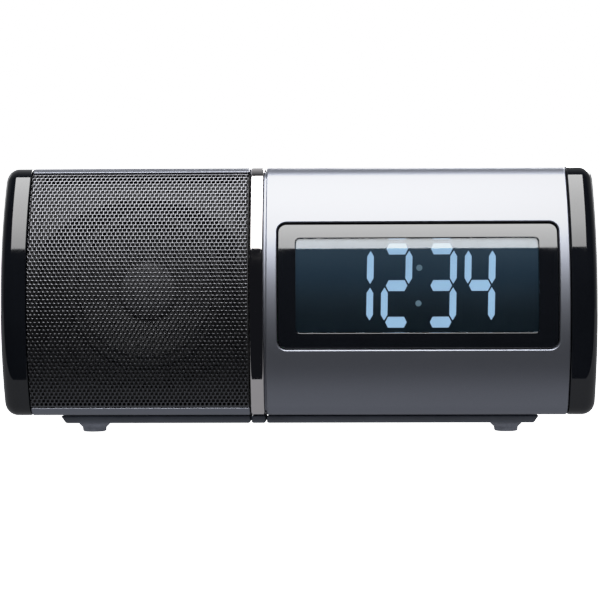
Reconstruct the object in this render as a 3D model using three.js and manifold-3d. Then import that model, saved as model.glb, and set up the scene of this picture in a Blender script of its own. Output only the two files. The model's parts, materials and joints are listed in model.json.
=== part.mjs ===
// Clock radio: a rounded tube lying on its side, closed by two gloss black end caps.
// Left of a bright centre band a perforated grille covers the loudspeaker; right of it a
// silver panel wraps the curved face and holds the display. Controls are on the top.
// Millimetres, +Z up, front face towards -Y, +X to the right seen from the front.
// The origin is on the surface it stands on, at the centre of its bounding box.

import * as THREE from 'three';
import { mergeVertices } from 'three/addons/utils/BufferGeometryUtils.js';
import Module from 'manifold-3d';

const wasm = await Module();
wasm.setup();

// ---------------------------------------------------------------- driving dimensions
const GAP = 0.3;                 // clearance between neighbouring pieces
const CUT = 1;                   // how far a cutter runs past the wall that it cuts
const HALF_WIDTH = 105;          // to the crown of either end cap
const LEFT_SEAM = -94;           // where the left cap meets the casing
const RIGHT_SEAM = 94;           // where the right cap meets the casing
const BODY_TOP = 94.3;
const BODY_BOTTOM = 6.4;
const HALF_DEPTH = 44;
const WALL = 2.4;

// The cross-section is four large arcs joined by four corner arcs.
const FRONT_RADIUS = 90;
const FRONT_HEIGHT = 46;         // height of the foremost line of the face
const TOP_RADIUS = 900;
const TOP_CREST_Y = 4;
const REAR_RADIUS = 140;
const REAR_HEIGHT = 48;
const UNDER_RADIUS = 4000;
const FRONT_TOP_CORNER = 7.5;
const FRONT_BOTTOM_CORNER = 6.2;
const REAR_TOP_CORNER = 12;
const REAR_BOTTOM_CORNER = 8;

// The end caps: rounded rim, gently domed face, and a lip that plugs into the casing.
const CAP_EDGE = 4.5;
const CAP_BULGE = 1.5;
const CAP_WALL = 2.5;
const CAP_LIP_LENGTH = 3;
const CAP_LIP_OUTER = WALL + GAP + 0.1;
const CAP_LIP_INNER = 4.4;

// The centre band, and the shallow channel that it lies in.
const BAND_LEFT = -16.8;
const BAND_RIGHT = -11.8;
const BAND_THICK = 1.2;
const CHANNEL_DEPTH = BAND_THICK + GAP;

// Front of the casing.
const FRONT_SPLIT_TOP_Y = -20;   // where the front pieces meet the rear shell on the top
const FRONT_SPLIT_UNDER_Y = -25; // where they meet the bottom shell
const REAR_SPLIT_UNDER_Y = 28;   // where the rear shell meets the bottom shell
const GRILLE_TOP_ANGLE = 143;    // the grille runs a little way onto both corner arcs
const GRILLE_BOTTOM_ANGLE = 212;
const GRILLE_THICK = 1.1;
const GRILLE_RIGHT = -17.4;
const FRAME_RIB = 3;             // width of the ribs under the grille's two ends
const PANEL_LEFT = -11.1;

// Display.
const OPENING = { x0: -7.2, x1: 90, z0: 29.6, z1: 73.8, corner: 3.3 };
const WINDOW = { x0: -1.0, x1: 83.3, z0: 35.1, z1: 68.7, corner: 1.4 };
const BEZEL_RECESS = 1.0;
const BEZEL_THICK = 2.4;
const WINDOW_RECESS = 1.3;
const WINDOW_THICK = 1.6;
const LCD_X = (WINDOW.x0 + WINDOW.x1) / 2;
const LCD_Z = (WINDOW.z0 + WINDOW.z1) / 2;
const LCD_WIDTH = 85.5;
const LCD_HEIGHT = 35;
const LCD_FRONT_Y = -35.2;
const LCD_THICK = 2.8;
const BACKLIGHT_THICK = 3;
const HOLDER_BORDER = 2.5;       // how far the holder frame reaches round the LCD
const HOLDER_CLEARANCE = 0.5;
const SEGMENT_FILM = 0.2;
const SEGMENT_PROUD = 0.25;
const DIGIT = { width: 11, height: 29.5, stroke: 2.6, z: 51.6 };
const DIGIT_CENTRES = { 1: 21, 2: 34.3, 3: 49.9, 4: 63.4 };
const LIT_BARS = { 1: 'bc', 2: 'abged', 3: 'abgcd', 4: 'fgbc' };

// Loudspeaker.
const SPEAKER_X = -54.1;
const SPEAKER_Z = 50.4;
const SPEAKER_BORE = 28.5;       // radius of the hole that the driver looks through
const DRIVER_Y = -30;            // plane of the front of the driver
const FUNNEL_SLOPE = 1.15;       // how fast the funnel widens towards the grille
const BAFFLE_INSET = 3;
const BAFFLE_THICK = 2;
const BAFFLE_FOOT = 10.5;        // heights between which the baffle runs
const BAFFLE_HEAD = 89.5;

// Base.
const RAIL_TOP = BODY_BOTTOM - GAP;
const RAIL_BOTTOM = 3.45;
const RAIL_HALF_TOP = 84.6;
const RAIL_HALF_BOTTOM = 82.7;
const RAIL_OUTER_Y = 29;
const RAIL_INNER_Y = 13.5;
const RAIL_JOINT = 0.4;
const FEET_X = 73.7;
const FEET_FRONT_Y = -20;
const FEET_REAR_Y = 21;
const SCREW_PLACES = [[-76, -8], [76, -8], [-76, 8], [76, 8]];
const SCREW = { shank: 1.25, head: 2.8, pilot: 1.55, clearance: 1.6, boss: 3.6 };
const CHASSIS = { x: 85, y0: -22, y1: 26, z0: 12, z1: 14 };

// Controls.
const BUTTON_TRAVEL = 1.0;
const BUTTON_PROUD = 1.2;
const BUTTON_ROW_Y = 24;
const SNOOZE = { x: 40, y: 6, length: 70, width: 12 };
const BUTTON_LENGTH = 12;
const BUTTON_WIDTH = 7;
const BUTTONS = {
    volume_down_button: -82,
    volume_up_button: -66,
    tune_down_button: -50,
    tune_up_button: -34,
    alarm_one_button: 10,
    alarm_two_button: 26,
    clock_set_button: 42,
    power_button: 58,
};
const BOARD_THICK = 1.6;
const CONTROL_BOARD_Z = 80;
const SWITCH_HEIGHT = 4.3;
const SWITCH_SIZE = 6;
const STEM_HALF = 2;

// Battery compartment in the lower left of the rear.
const CELL_RADIUS = 5.25;
const CELL_LENGTH = 44.5;
const BAY = { x0: -81, x1: -27, y0: 24.2, y1: 36.8, z0: 15.8, z1: 39.8 };
const BAY_WALL = 1.5;
const DOOR = { x0: -83, x1: -25, z0: 15, z1: 41.5, thick: 2 };

// Rear connections.
const JACK = { x: 66, z: 24, halfWidth: 4.5, halfHeight: 5.5, bore: 3.15, pin: 1 };
const AERIAL = { x: 82, z: 30, bore: 0.9, neck: 2.7 };
const MAIN_BOARD = { x0: -18, x1: 88, y: 30, z0: 14.3, z1: 76 };
const TUNER_CAN = { x0: 6, x1: 32, depth: 8, z0: 48, z1: 68 };
const FERRITE_ROD = { x: -54, y: 20, z: 66, radius: 4, length: 58 };
const VENTS = { first: 8, pitch: 8, count: 7, width: 2.5, z0: 48, z1: 68 };
const REAR_CUT_Y = 34;           // cutters through the rear wall start here

// ---------------------------------------------------------------- materials
function plastic(color, roughness) {
    return new THREE.MeshStandardMaterial({ color, roughness, metalness: 0 });
}

function metal(color, roughness) {
    return new THREE.MeshStandardMaterial({ color, roughness, metalness: 1 });
}

const glossBlack = plastic(0x0c0d10, 0.08);
const satinSilver = metal(0xc4c6cb, 0.35);
const chrome = metal(0xe6e4e0, 0.06);
const grilleMetal = metal(0x4a4c52, 0.45);
const darkPlastic = plastic(0x25272b, 0.5);
const railPlastic = plastic(0x3a3d42, 0.45);
const rubber = plastic(0x2c2d30, 0.85);
const tintedWindow = plastic(0x101820, 0.05);
const lcdGlass = plastic(0x1c3a40, 0.15);
const lcdLit = plastic(0xa0c4e8, 0.4);
const diffuser = plastic(0xe8eef2, 0.6);
const boardGreen = plastic(0x1e5a34, 0.55);
const tinned = metal(0xb8b8b4, 0.35);
const ferrite = plastic(0x34322f, 0.7);
const steel = metal(0x8c8d90, 0.35);
const paperCone = plastic(0x1a1b1d, 0.8);
const copperWinding = metal(0xb4693a, 0.4);
const cellWrap = plastic(0x4b565e, 0.4);

// ---------------------------------------------------------------- solids and booleans
function toSolid(geometry) {
    const bare = geometry.clone();
    bare.deleteAttribute('normal');
    bare.deleteAttribute('uv');
    const merged = mergeVertices(bare, 1e-4);
    return new wasm.Manifold(new wasm.Mesh({
        numProp: 3,
        vertProperties: new Float32Array(merged.attributes.position.array),
        triVerts: new Uint32Array(merged.index.array),
    }));
}

function toGeometry(solid) {
    const mesh = solid.getMesh();
    const geometry = new THREE.BufferGeometry();
    const positions = new Float32Array(mesh.vertProperties);
    geometry.setAttribute('position', new THREE.BufferAttribute(positions, 3));
    geometry.setIndex(new THREE.BufferAttribute(new Uint32Array(mesh.triVerts), 1));
    geometry.computeVertexNormals();
    return geometry;
}

function join(...geometries) {
    return toGeometry(geometries.map(toSolid).reduce((all, solid) => all.add(solid)));
}

function cut(geometry, cutters) {
    const rest = cutters.map(toSolid);
    return toGeometry(rest.reduce((left, solid) => left.subtract(solid), toSolid(geometry)));
}

function common(geometryA, geometryB) {
    return toGeometry(toSolid(geometryA).intersect(toSolid(geometryB)));
}

function box(x0, x1, y0, y1, z0, z1) {
    const geometry = new THREE.BoxGeometry(x1 - x0, y1 - y0, z1 - z0);
    return geometry.translate((x0 + x1) / 2, (y0 + y1) / 2, (z0 + z1) / 2);
}

// Turn a profile of [radius, height] points round the Y axis, whichever way it is listed.
function turned(profile, sides) {
    let area = 0;
    profile.forEach(([r0, y0], i) => {
        const [r1, y1] = profile[(i + 1) % profile.length];
        area += r0 * y1 - r1 * y0;
    });
    const points = profile.map(([r, y]) => new THREE.Vector2(r, y));
    if (area < 0) {
        points.reverse();
    }
    const closesOnAxis = points[0].x === 0 && points[points.length - 1].x === 0;
    if (!closesOnAxis) {
        points.push(points[0].clone());
    }
    return new THREE.LatheGeometry(points, sides);
}

// A turned piece on the loudspeaker's axis.
function speakerTurned(profile, sides = 24) {
    return turned(profile, sides).translate(SPEAKER_X, 0, SPEAKER_Z);
}

// A turned piece that stands upright at (x, y).
function uprightTurned(profile, x, y, sides = 16) {
    return turned(profile, sides).rotateX(Math.PI / 2).translate(x, y, 0);
}

function roundedRectangle(x0, x1, y0, y1, corner) {
    const shape = new THREE.Shape();
    shape.moveTo(x0 + corner, y0);
    shape.lineTo(x1 - corner, y0);
    shape.absarc(x1 - corner, y0 + corner, corner, -Math.PI / 2, 0);
    shape.lineTo(x1, y1 - corner);
    shape.absarc(x1 - corner, y1 - corner, corner, 0, Math.PI / 2);
    shape.lineTo(x0 + corner, y1);
    shape.absarc(x0 + corner, y1 - corner, corner, Math.PI / 2, Math.PI);
    shape.lineTo(x0, y0 + corner);
    shape.absarc(x0 + corner, y0 + corner, corner, Math.PI, Math.PI * 1.5);
    return shape;
}

function extruded(shape, depth, curveSegments = 4) {
    return new THREE.ExtrudeGeometry(shape, { depth, curveSegments, bevelEnabled: false });
}

// A prism from an outline in X and Z, running from y0 to y1.
function throughDepth(shape, y0, y1) {
    return extruded(shape, y1 - y0).rotateX(Math.PI / 2).translate(0, y1, 0);
}

// A prism from an outline in X and Y, running from z0 to z1.
function throughHeight(shape, z0, z1) {
    return extruded(shape, z1 - z0, 2).translate(0, 0, z0);
}

// A prism from an outline in Y and Z, running from x0 to x1.
function throughWidth(shape, x0, x1) {
    const toWidth = new THREE.Matrix4().makeBasis(
        new THREE.Vector3(0, 1, 0), new THREE.Vector3(0, 0, 1), new THREE.Vector3(1, 0, 0));
    return extruded(shape, x1 - x0).applyMatrix4(toWidth).translate(x0, 0, 0);
}

// ---------------------------------------------------------------- the cross-section
// The section is convex, so every point of it is named by the direction of its normal, as an
// angle in degrees in the Y-Z plane. The outline runs from the foot of the face up, over the
// top, down the rear and forward underneath, with the angle falling all the way.
const DEGREE = Math.PI / 180;

const front = { y: -HALF_DEPTH + FRONT_RADIUS, z: FRONT_HEIGHT, r: FRONT_RADIUS, steps: 12 };
const top = { y: TOP_CREST_Y, z: BODY_TOP - TOP_RADIUS, r: TOP_RADIUS, steps: 2 };
const rear = { y: HALF_DEPTH - REAR_RADIUS, z: REAR_HEIGHT, r: REAR_RADIUS, steps: 6 };
const under = { y: 0, z: BODY_BOTTOM + UNDER_RADIUS, r: UNDER_RADIUS, steps: 1 };

// The corner arc of radius r that touches arcs a and b from inside, towards side (sy, sz).
function cornerArc(a, b, r, sy, sz) {
    const ra = a.r - r;
    const rb = b.r - r;
    const dy = b.y - a.y;
    const dz = b.z - a.z;
    const distance = Math.hypot(dy, dz);
    const along = (ra * ra - rb * rb + distance * distance) / (2 * distance);
    const across = Math.sqrt(ra * ra - along * along);
    const candidates = [1, -1].map((side) => ({
        y: a.y + (along * dy - side * across * dz) / distance,
        z: a.z + (along * dz + side * across * dy) / distance,
        r,
        steps: 4,
    }));
    return candidates.sort((p, q) => (q.y * sy + q.z * sz) - (p.y * sy + p.z * sz))[0];
}

const frontTop = cornerArc(front, top, FRONT_TOP_CORNER, -1, 1);
const rearTop = cornerArc(top, rear, REAR_TOP_CORNER, 1, 1);
const rearBottom = cornerArc(rear, under, REAR_BOTTOM_CORNER, 1, -1);
const frontBottom = cornerArc(under, front, FRONT_BOTTOM_CORNER, -1, -1);

function directionFrom(arc, corner) {
    return Math.atan2(corner.z - arc.z, corner.y - arc.y) / DEGREE;
}

const loopStart = directionFrom(front, frontBottom) + 360;
const breaks = [
    loopStart,
    directionFrom(front, frontTop),
    directionFrom(top, frontTop),
    directionFrom(top, rearTop),
    directionFrom(rear, rearTop),
    directionFrom(rear, rearBottom),
    directionFrom(under, rearBottom),
    directionFrom(under, frontBottom),
    loopStart - 360,
];
const arcs = [front, frontTop, top, rearTop, rear, rearBottom, under, frontBottom];

function sectionPoint(angle, inset) {
    const turns = Math.floor((loopStart - angle) / 360);
    const withinLoop = angle + turns * 360;
    const arc = arcs[arcs.findIndex((each, i) => withinLoop >= breaks[i + 1] - 1e-9)];
    const reach = arc.r - inset;
    return [arc.y + reach * Math.cos(angle * DEGREE), arc.z + reach * Math.sin(angle * DEGREE)];
}

// The angles of the outline's corners, once round, with the foremost and rearmost lines.
const loopAngles = [];
arcs.forEach((arc, i) => {
    for (let step = 0; step < arc.steps; step += 1) {
        loopAngles.push(breaks[i] + (breaks[i + 1] - breaks[i]) * step / arc.steps);
    }
});
loopAngles.push(180, 0);
loopAngles.sort((a, b) => b - a);

function outline(from, to, inset) {
    const turns = [360, 0, -360].flatMap((turn) => loopAngles.map((angle) => angle + turn));
    const between = turns.filter((angle) => angle < from - 0.05 && angle > to + 0.05);
    return [from, ...between, to].map((angle) => sectionPoint(angle, inset));
}

function ring(inset) {
    return loopAngles.map((angle) => sectionPoint(angle, inset));
}

const frontAngle = (z) => 180 - Math.asin((z - front.z) / front.r) / DEGREE;
const rearAngle = (z) => Math.asin((z - rear.z) / rear.r) / DEGREE;
const topAngle = (y) => Math.acos((y - top.y) / top.r) / DEGREE;
const underAngle = (y) => -Math.acos((y - under.y) / under.r) / DEGREE;
const frontSurfaceY = (z, inset) => sectionPoint(frontAngle(z), inset)[0];
const rearSurfaceY = (z, inset) => sectionPoint(rearAngle(z), inset)[0];
const topSurfaceZ = (y) => sectionPoint(topAngle(y), 0)[1];

function toShape(points) {
    return new THREE.Shape(points.map(([y, z]) => new THREE.Vector2(y, z)));
}

// A stretch of casing wall between two directions, from one inset to another, x0 to x1.
function wallStrip(from, to, insetOuter, insetInner, x0, x1) {
    const outer = outline(from, to, insetOuter);
    const inner = outline(from, to, insetInner).reverse();
    return throughWidth(toShape([...outer, ...inner]), x0, x1);
}

// The whole tube, solid, at an inset.
function wholeSection(inset, x0, x1) {
    return throughWidth(toShape(ring(inset)), x0, x1);
}

// A closed skin over rings of equal count, closed at both ends by a single point.
function skin(startPoint, rings, endPoint) {
    const positions = [startPoint, ...rings.flat(), endPoint].flat();
    const count = rings[0].length;
    const last = rings.length * count + 1;
    const index = [];
    for (let i = 0; i < count; i += 1) {
        const next = (i + 1) % count;
        index.push(0, 1 + i, 1 + next);
        for (let k = 0; k < rings.length - 1; k += 1) {
            const near = 1 + k * count;
            const far = near + count;
            index.push(near + i, far + i, near + next, near + next, far + i, far + next);
        }
        index.push(last, last - count + next, last - count + i);
    }
    const geometry = new THREE.BufferGeometry();
    geometry.setAttribute('position', new THREE.Float32BufferAttribute(positions, 3));
    geometry.setIndex(index);
    geometry.computeVertexNormals();
    return geometry;
}

// ---------------------------------------------------------------- pieces
const radio = new THREE.Group();

function add(name, geometry, material) {
    const mesh = new THREE.Mesh(geometry, material);
    mesh.name = name;
    radio.add(mesh);
}

// One end cap, for side -1 or 1, whose rim meets the casing at seamX.
function endCap(side, seamX) {
    const middle = [0, FRONT_HEIGHT];
    const faceX = HALF_WIDTH - CAP_BULGE;
    const atX = (points, x) => points.map(([y, z]) => [side * x, y, z]);
    const shrunk = (points, scale) => points.map(([y, z]) => [
        middle[0] + (y - middle[0]) * scale, middle[1] + (z - middle[1]) * scale]);
    const seam = side * seamX;
    const outer = [
        atX(ring(0), seam),
        ...[0, 25, 50, 75].map((turn) => {
            const inset = CAP_EDGE * (1 - Math.cos(turn * DEGREE));
            return atX(ring(inset), faceX - CAP_EDGE * (1 - Math.sin(turn * DEGREE)));
        }),
        ...[1, 0.72, 0.4].map((scale) => {
            return atX(shrunk(ring(CAP_EDGE), scale), HALF_WIDTH - CAP_BULGE * scale * scale);
        }),
    ];
    const inner = [
        atX(ring(CAP_LIP_INNER), seam - CAP_LIP_LENGTH),
        atX(ring(CAP_LIP_INNER), faceX - CAP_EDGE - CAP_WALL),
        ...[0.9, 0.5].map((scale) => {
            const bulge = CAP_BULGE * scale * scale;
            return atX(shrunk(ring(CAP_EDGE), scale), HALF_WIDTH - CAP_WALL - bulge);
        }),
    ].reverse();
    const lip = [
        atX(ring(CAP_LIP_OUTER), seam - CAP_LIP_LENGTH),
        atX(ring(CAP_LIP_OUTER), seam),
    ];
    const rings = [...inner, ...lip, ...outer];
    const innerPole = [side * (HALF_WIDTH - CAP_WALL), ...middle];
    const outerPole = [side * HALF_WIDTH, ...middle];
    if (side > 0) {
        return skin(innerPole, rings, outerPole);
    }
    return skin(innerPole, rings.map((points) => points.slice().reverse()), outerPole);
}

function buildCasing() {
    const left = LEFT_SEAM + GAP;
    const right = RIGHT_SEAM - GAP;
    add('left_end_cap', endCap(-1, LEFT_SEAM), glossBlack);
    add('right_end_cap', endCap(1, RIGHT_SEAM), glossBlack);

    // Grille and its frame: two bright strips tied together by ribs under the grille's ends.
    const frameTop = topAngle(FRONT_SPLIT_TOP_Y);
    const frameFoot = underAngle(FRONT_SPLIT_UNDER_Y);
    const ribInset = GRILLE_THICK + GAP;
    const topGap = GAP / FRONT_TOP_CORNER / DEGREE;
    const bottomGap = GAP / FRONT_BOTTOM_CORNER / DEGREE;
    const ribFrom = GRILLE_BOTTOM_ANGLE + bottomGap + CUT;
    const ribTo = GRILLE_TOP_ANGLE - topGap - CUT;
    const frameRight = BAND_LEFT - GAP;
    add('grille_frame', join(
        wallStrip(GRILLE_TOP_ANGLE - topGap, frameTop, 0, WALL, left, frameRight),
        wallStrip(frameFoot + 360, GRILLE_BOTTOM_ANGLE + bottomGap, 0, WALL, left, frameRight),
        wallStrip(ribFrom, ribTo, ribInset, WALL, left, left + FRAME_RIB),
        wallStrip(ribFrom, ribTo, ribInset, WALL, frameRight - FRAME_RIB, frameRight),
    ), satinSilver);
    add('speaker_grille', wallStrip(
        GRILLE_BOTTOM_ANGLE, GRILLE_TOP_ANGLE, 0, GRILLE_THICK, left, GRILLE_RIGHT,
    ), grilleMetal);

    const bandShape = toShape(ring(0));
    bandShape.holes.push(new THREE.Path(
        ring(BAND_THICK).reverse().map(([y, z]) => new THREE.Vector2(y, z))));
    add('center_band', throughWidth(bandShape, BAND_LEFT, BAND_RIGHT), chrome);

    // Silver panel, with a tongue under the band and the opening for the display.
    const panelWall = wallStrip(frameFoot + 360, frameTop, 0, WALL, PANEL_LEFT, right);
    const tongue = wallStrip(
        frameFoot + 360, frameTop, CHANNEL_DEPTH, WALL, BAND_LEFT + GAP, PANEL_LEFT + CUT);
    const opening = throughDepth(
        roundedRectangle(OPENING.x0, OPENING.x1, OPENING.z0, OPENING.z1, OPENING.corner),
        -HALF_DEPTH - CUT, 0);
    add('front_panel', cut(join(panelWall, tongue), [opening]), satinSilver);
}

function buildDisplay() {
    const inner = (area, gap) => roundedRectangle(
        area.x0 + gap, area.x1 - gap, area.z0 + gap, area.z1 - gap, area.corner);
    const curvedPlate = (area, gap, inset, thick) => common(
        wallStrip(frontAngle(area.z0 - CUT), frontAngle(area.z1 + CUT), inset, inset + thick,
            area.x0 - CUT, area.x1 + CUT),
        throughDepth(inner(area, gap), -HALF_DEPTH - CUT, 0));

    const bezelPlate = curvedPlate(OPENING, GAP, BEZEL_RECESS, BEZEL_THICK);
    const windowHole = throughDepth(inner(WINDOW, 0), -HALF_DEPTH - CUT, 0);
    add('display_bezel', cut(bezelPlate, [windowHole]), glossBlack);
    add('display_window', curvedPlate(WINDOW, GAP, WINDOW_RECESS, WINDOW_THICK), tintedWindow);

    const halfW = LCD_WIDTH / 2;
    const halfH = LCD_HEIGHT / 2;
    const stack = (name, frontY, thick, growth, material) => add(name, box(
        LCD_X - halfW - growth, LCD_X + halfW + growth, frontY, frontY + thick,
        LCD_Z - halfH - growth, LCD_Z + halfH + growth), material);
    const backlightY = LCD_FRONT_Y + LCD_THICK + GAP;
    const holderRear = backlightY + BACKLIGHT_THICK + GAP;
    stack('lcd_panel', LCD_FRONT_Y, LCD_THICK, 0, lcdGlass);
    stack('backlight', backlightY, BACKLIGHT_THICK, 0, diffuser);
    stack('display_board', holderRear + GAP, BOARD_THICK, 4, boardGreen);

    const outerW = halfW + HOLDER_BORDER;
    const outerH = halfH + HOLDER_BORDER;
    const frameShape = roundedRectangle(
        LCD_X - outerW, LCD_X + outerW, LCD_Z - outerH, LCD_Z + outerH, 2);
    const holeW = halfW + HOLDER_CLEARANCE;
    const holeH = halfH + HOLDER_CLEARANCE;
    const frameHole = box(LCD_X - holeW, LCD_X + holeW, -HALF_DEPTH, 0,
        LCD_Z - holeH, LCD_Z + holeH);
    add('display_holder', cut(throughDepth(frameShape, LCD_FRONT_Y - GAP, holderRear), [frameHole]),
        darkPlastic);
    add('lcd_segment_layer', segmentLayer(LCD_FRONT_Y - GAP), lcdLit);
}

// A thin film that carries the raised segments of a four-digit time.
function segmentLayer(rearY) {
    const { width, height, stroke } = DIGIT;
    const border = 1;
    const filmFront = rearY - SEGMENT_FILM;
    const pieces = [box(LCD_X - LCD_WIDTH / 2 + border, LCD_X + LCD_WIDTH / 2 - border,
        filmFront, rearY, LCD_Z - LCD_HEIGHT / 2 + border, LCD_Z + LCD_HEIGHT / 2 - border)];
    const half = height / 2;
    const sideX = (width - stroke) / 2;
    const endZ = (height - stroke) / 2;
    const bars = {
        a: [0, endZ, true],
        g: [0, 0, true],
        d: [0, -endZ, true],
        b: [sideX, half / 2, false],
        c: [sideX, -half / 2, false],
        f: [-sideX, half / 2, false],
        e: [-sideX, -half / 2, false],
    };
    Object.entries(DIGIT_CENTRES).forEach(([digit, x]) => {
        [...LIT_BARS[digit]].forEach((letter) => {
            const [dx, dz, flat] = bars[letter];
            const halfLong = flat ? width / 2 - stroke : half / 2 - stroke * 0.75;
            const [w, h] = flat ? [halfLong, stroke / 2] : [stroke / 2, halfLong];
            pieces.push(box(x + dx - w, x + dx + w, filmFront - SEGMENT_PROUD,
                rearY - SEGMENT_FILM / 2, DIGIT.z + dz - h, DIGIT.z + dz + h));
        });
    });
    return join(...pieces);
}

function buildShells() {
    const left = LEFT_SEAM + GAP;
    const right = RIGHT_SEAM - GAP;
    const frontEdge = topAngle(FRONT_SPLIT_TOP_Y + GAP);
    const rearEdge = underAngle(REAR_SPLIT_UNDER_Y + GAP);
    const channelled = (from, to) => join(
        wallStrip(from, to, 0, WALL, left, BAND_LEFT - GAP),
        wallStrip(from, to, CHANNEL_DEPTH, WALL, BAND_LEFT - CUT, BAND_RIGHT + CUT),
        wallStrip(from, to, 0, WALL, BAND_RIGHT + GAP, right));

    // Rear shell: the top with its button holes, and the rear with vents and connections.
    const topHole = (x, y, length, width) => throughHeight(roundedRectangle(
        x - length / 2 - GAP, x + length / 2 + GAP, y - width / 2 - GAP, y + width / 2 + GAP, 1.8),
    BODY_TOP - WALL - 5, BODY_TOP + CUT);
    const holes = Object.values(BUTTONS).map(
        (x) => topHole(x, BUTTON_ROW_Y, BUTTON_LENGTH, BUTTON_WIDTH));
    holes.push(topHole(SNOOZE.x, SNOOZE.y, SNOOZE.length, SNOOZE.width));
    const rearHole = (x0, x1, z0, z1) => box(x0, x1, REAR_CUT_Y, HALF_DEPTH + CUT, z0, z1);
    const jackW = JACK.halfWidth + GAP;
    const jackH = JACK.halfHeight + GAP;
    holes.push(rearHole(JACK.x - jackW, JACK.x + jackW, JACK.z - jackH, JACK.z + jackH));
    holes.push(rearHole(DOOR.x0, DOOR.x1, DOOR.z0, DOOR.z1));
    holes.push(new THREE.CylinderGeometry(AERIAL.neck + GAP, AERIAL.neck + GAP, 12, 16)
        .translate(AERIAL.x, HALF_DEPTH - 4, AERIAL.z));
    for (let i = 0; i < VENTS.count; i += 1) {
        const x = VENTS.first + i * VENTS.pitch;
        holes.push(rearHole(x - VENTS.width / 2, x + VENTS.width / 2, VENTS.z0, VENTS.z1));
    }
    add('rear_shell', cut(channelled(frontEdge, rearEdge), holes), darkPlastic);

    const screwHoles = SCREW_PLACES.map(([x, y]) => uprightTurned(
        [[0, BODY_BOTTOM - CUT], [SCREW.clearance, BODY_BOTTOM - CUT], [SCREW.clearance, 10],
            [0, 10]], x, y, 10));
    const underFrom = underAngle(REAR_SPLIT_UNDER_Y);
    const underTo = underAngle(FRONT_SPLIT_UNDER_Y + GAP);
    add('bottom_shell', cut(channelled(underFrom, underTo), screwHoles), darkPlastic);
}

function buildBase() {
    // The front rail shows in three lengths, the middle one under the band.
    const rail = (name, x0, x1, slantLeft, slantRight, y0) => {
        const slant = RAIL_HALF_TOP - RAIL_HALF_BOTTOM;
        const shape = new THREE.Shape([
            new THREE.Vector2(x0 + (slantLeft ? slant : 0), RAIL_BOTTOM),
            new THREE.Vector2(x1 - (slantRight ? slant : 0), RAIL_BOTTOM),
            new THREE.Vector2(x1, RAIL_TOP),
            new THREE.Vector2(x0, RAIL_TOP)]);
        add(name, throughDepth(shape, y0, y0 + RAIL_OUTER_Y - RAIL_INNER_Y), railPlastic);
    };
    rail('base_rail_left', -RAIL_HALF_TOP, BAND_LEFT - RAIL_JOINT, true, false, -RAIL_OUTER_Y);
    rail('base_rail_middle', BAND_LEFT, BAND_RIGHT, false, false, -RAIL_OUTER_Y);
    rail('base_rail_right', BAND_RIGHT + RAIL_JOINT, RAIL_HALF_TOP, false, true, -RAIL_OUTER_Y);
    rail('base_rail_rear', -RAIL_HALF_TOP, RAIL_HALF_TOP, true, true, RAIL_INNER_Y);

    const seat = RAIL_BOTTOM - GAP / 3;
    const footProfile = [[0, 0], [4.2, 0], [4.4, 1.7], [5.6, 1.9], [5.8, seat], [0, seat]];
    const places = {
        foot_front_left: [-FEET_X, FEET_FRONT_Y],
        foot_front_right: [FEET_X, FEET_FRONT_Y],
        foot_rear_left: [-FEET_X, FEET_REAR_Y],
        foot_rear_right: [FEET_X, FEET_REAR_Y],
    };
    Object.entries(places).forEach(([name, [x, y]]) => {
        add(name, uprightTurned(footProfile, x, y), rubber);
    });

    const headBottom = BODY_BOTTOM - 1.8;
    const headTop = BODY_BOTTOM - GAP / 2;
    SCREW_PLACES.forEach(([x, y], i) => {
        add(`case_screw_${i + 1}`, uprightTurned([
            [0, headBottom], [SCREW.head - 0.6, headBottom], [SCREW.head, headTop - 0.6],
            [SCREW.head, headTop], [SCREW.shank, headTop], [SCREW.shank, 12.6], [0, 13.2]],
        x, y, 10), steel);
    });

    // Chassis plate inside, with a boss over each screw.
    const plate = box(-CHASSIS.x, CHASSIS.x, CHASSIS.y0, CHASSIS.y1, CHASSIS.z0, CHASSIS.z1);
    const post = (radius, z0, z1, sides) => SCREW_PLACES.map(([x, y]) => uprightTurned(
        [[0, z0], [radius, z0], [radius, z1], [0, z1]], x, y, sides));
    const bosses = post(SCREW.boss, BODY_BOTTOM + WALL + 0.5, CHASSIS.z1 - CUT, 12);
    const threads = post(SCREW.pilot, BODY_BOTTOM, CHASSIS.z1 + CUT, 10);
    add('chassis_plate', cut(join(plate, ...bosses), threads), darkPlastic);
}

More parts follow.
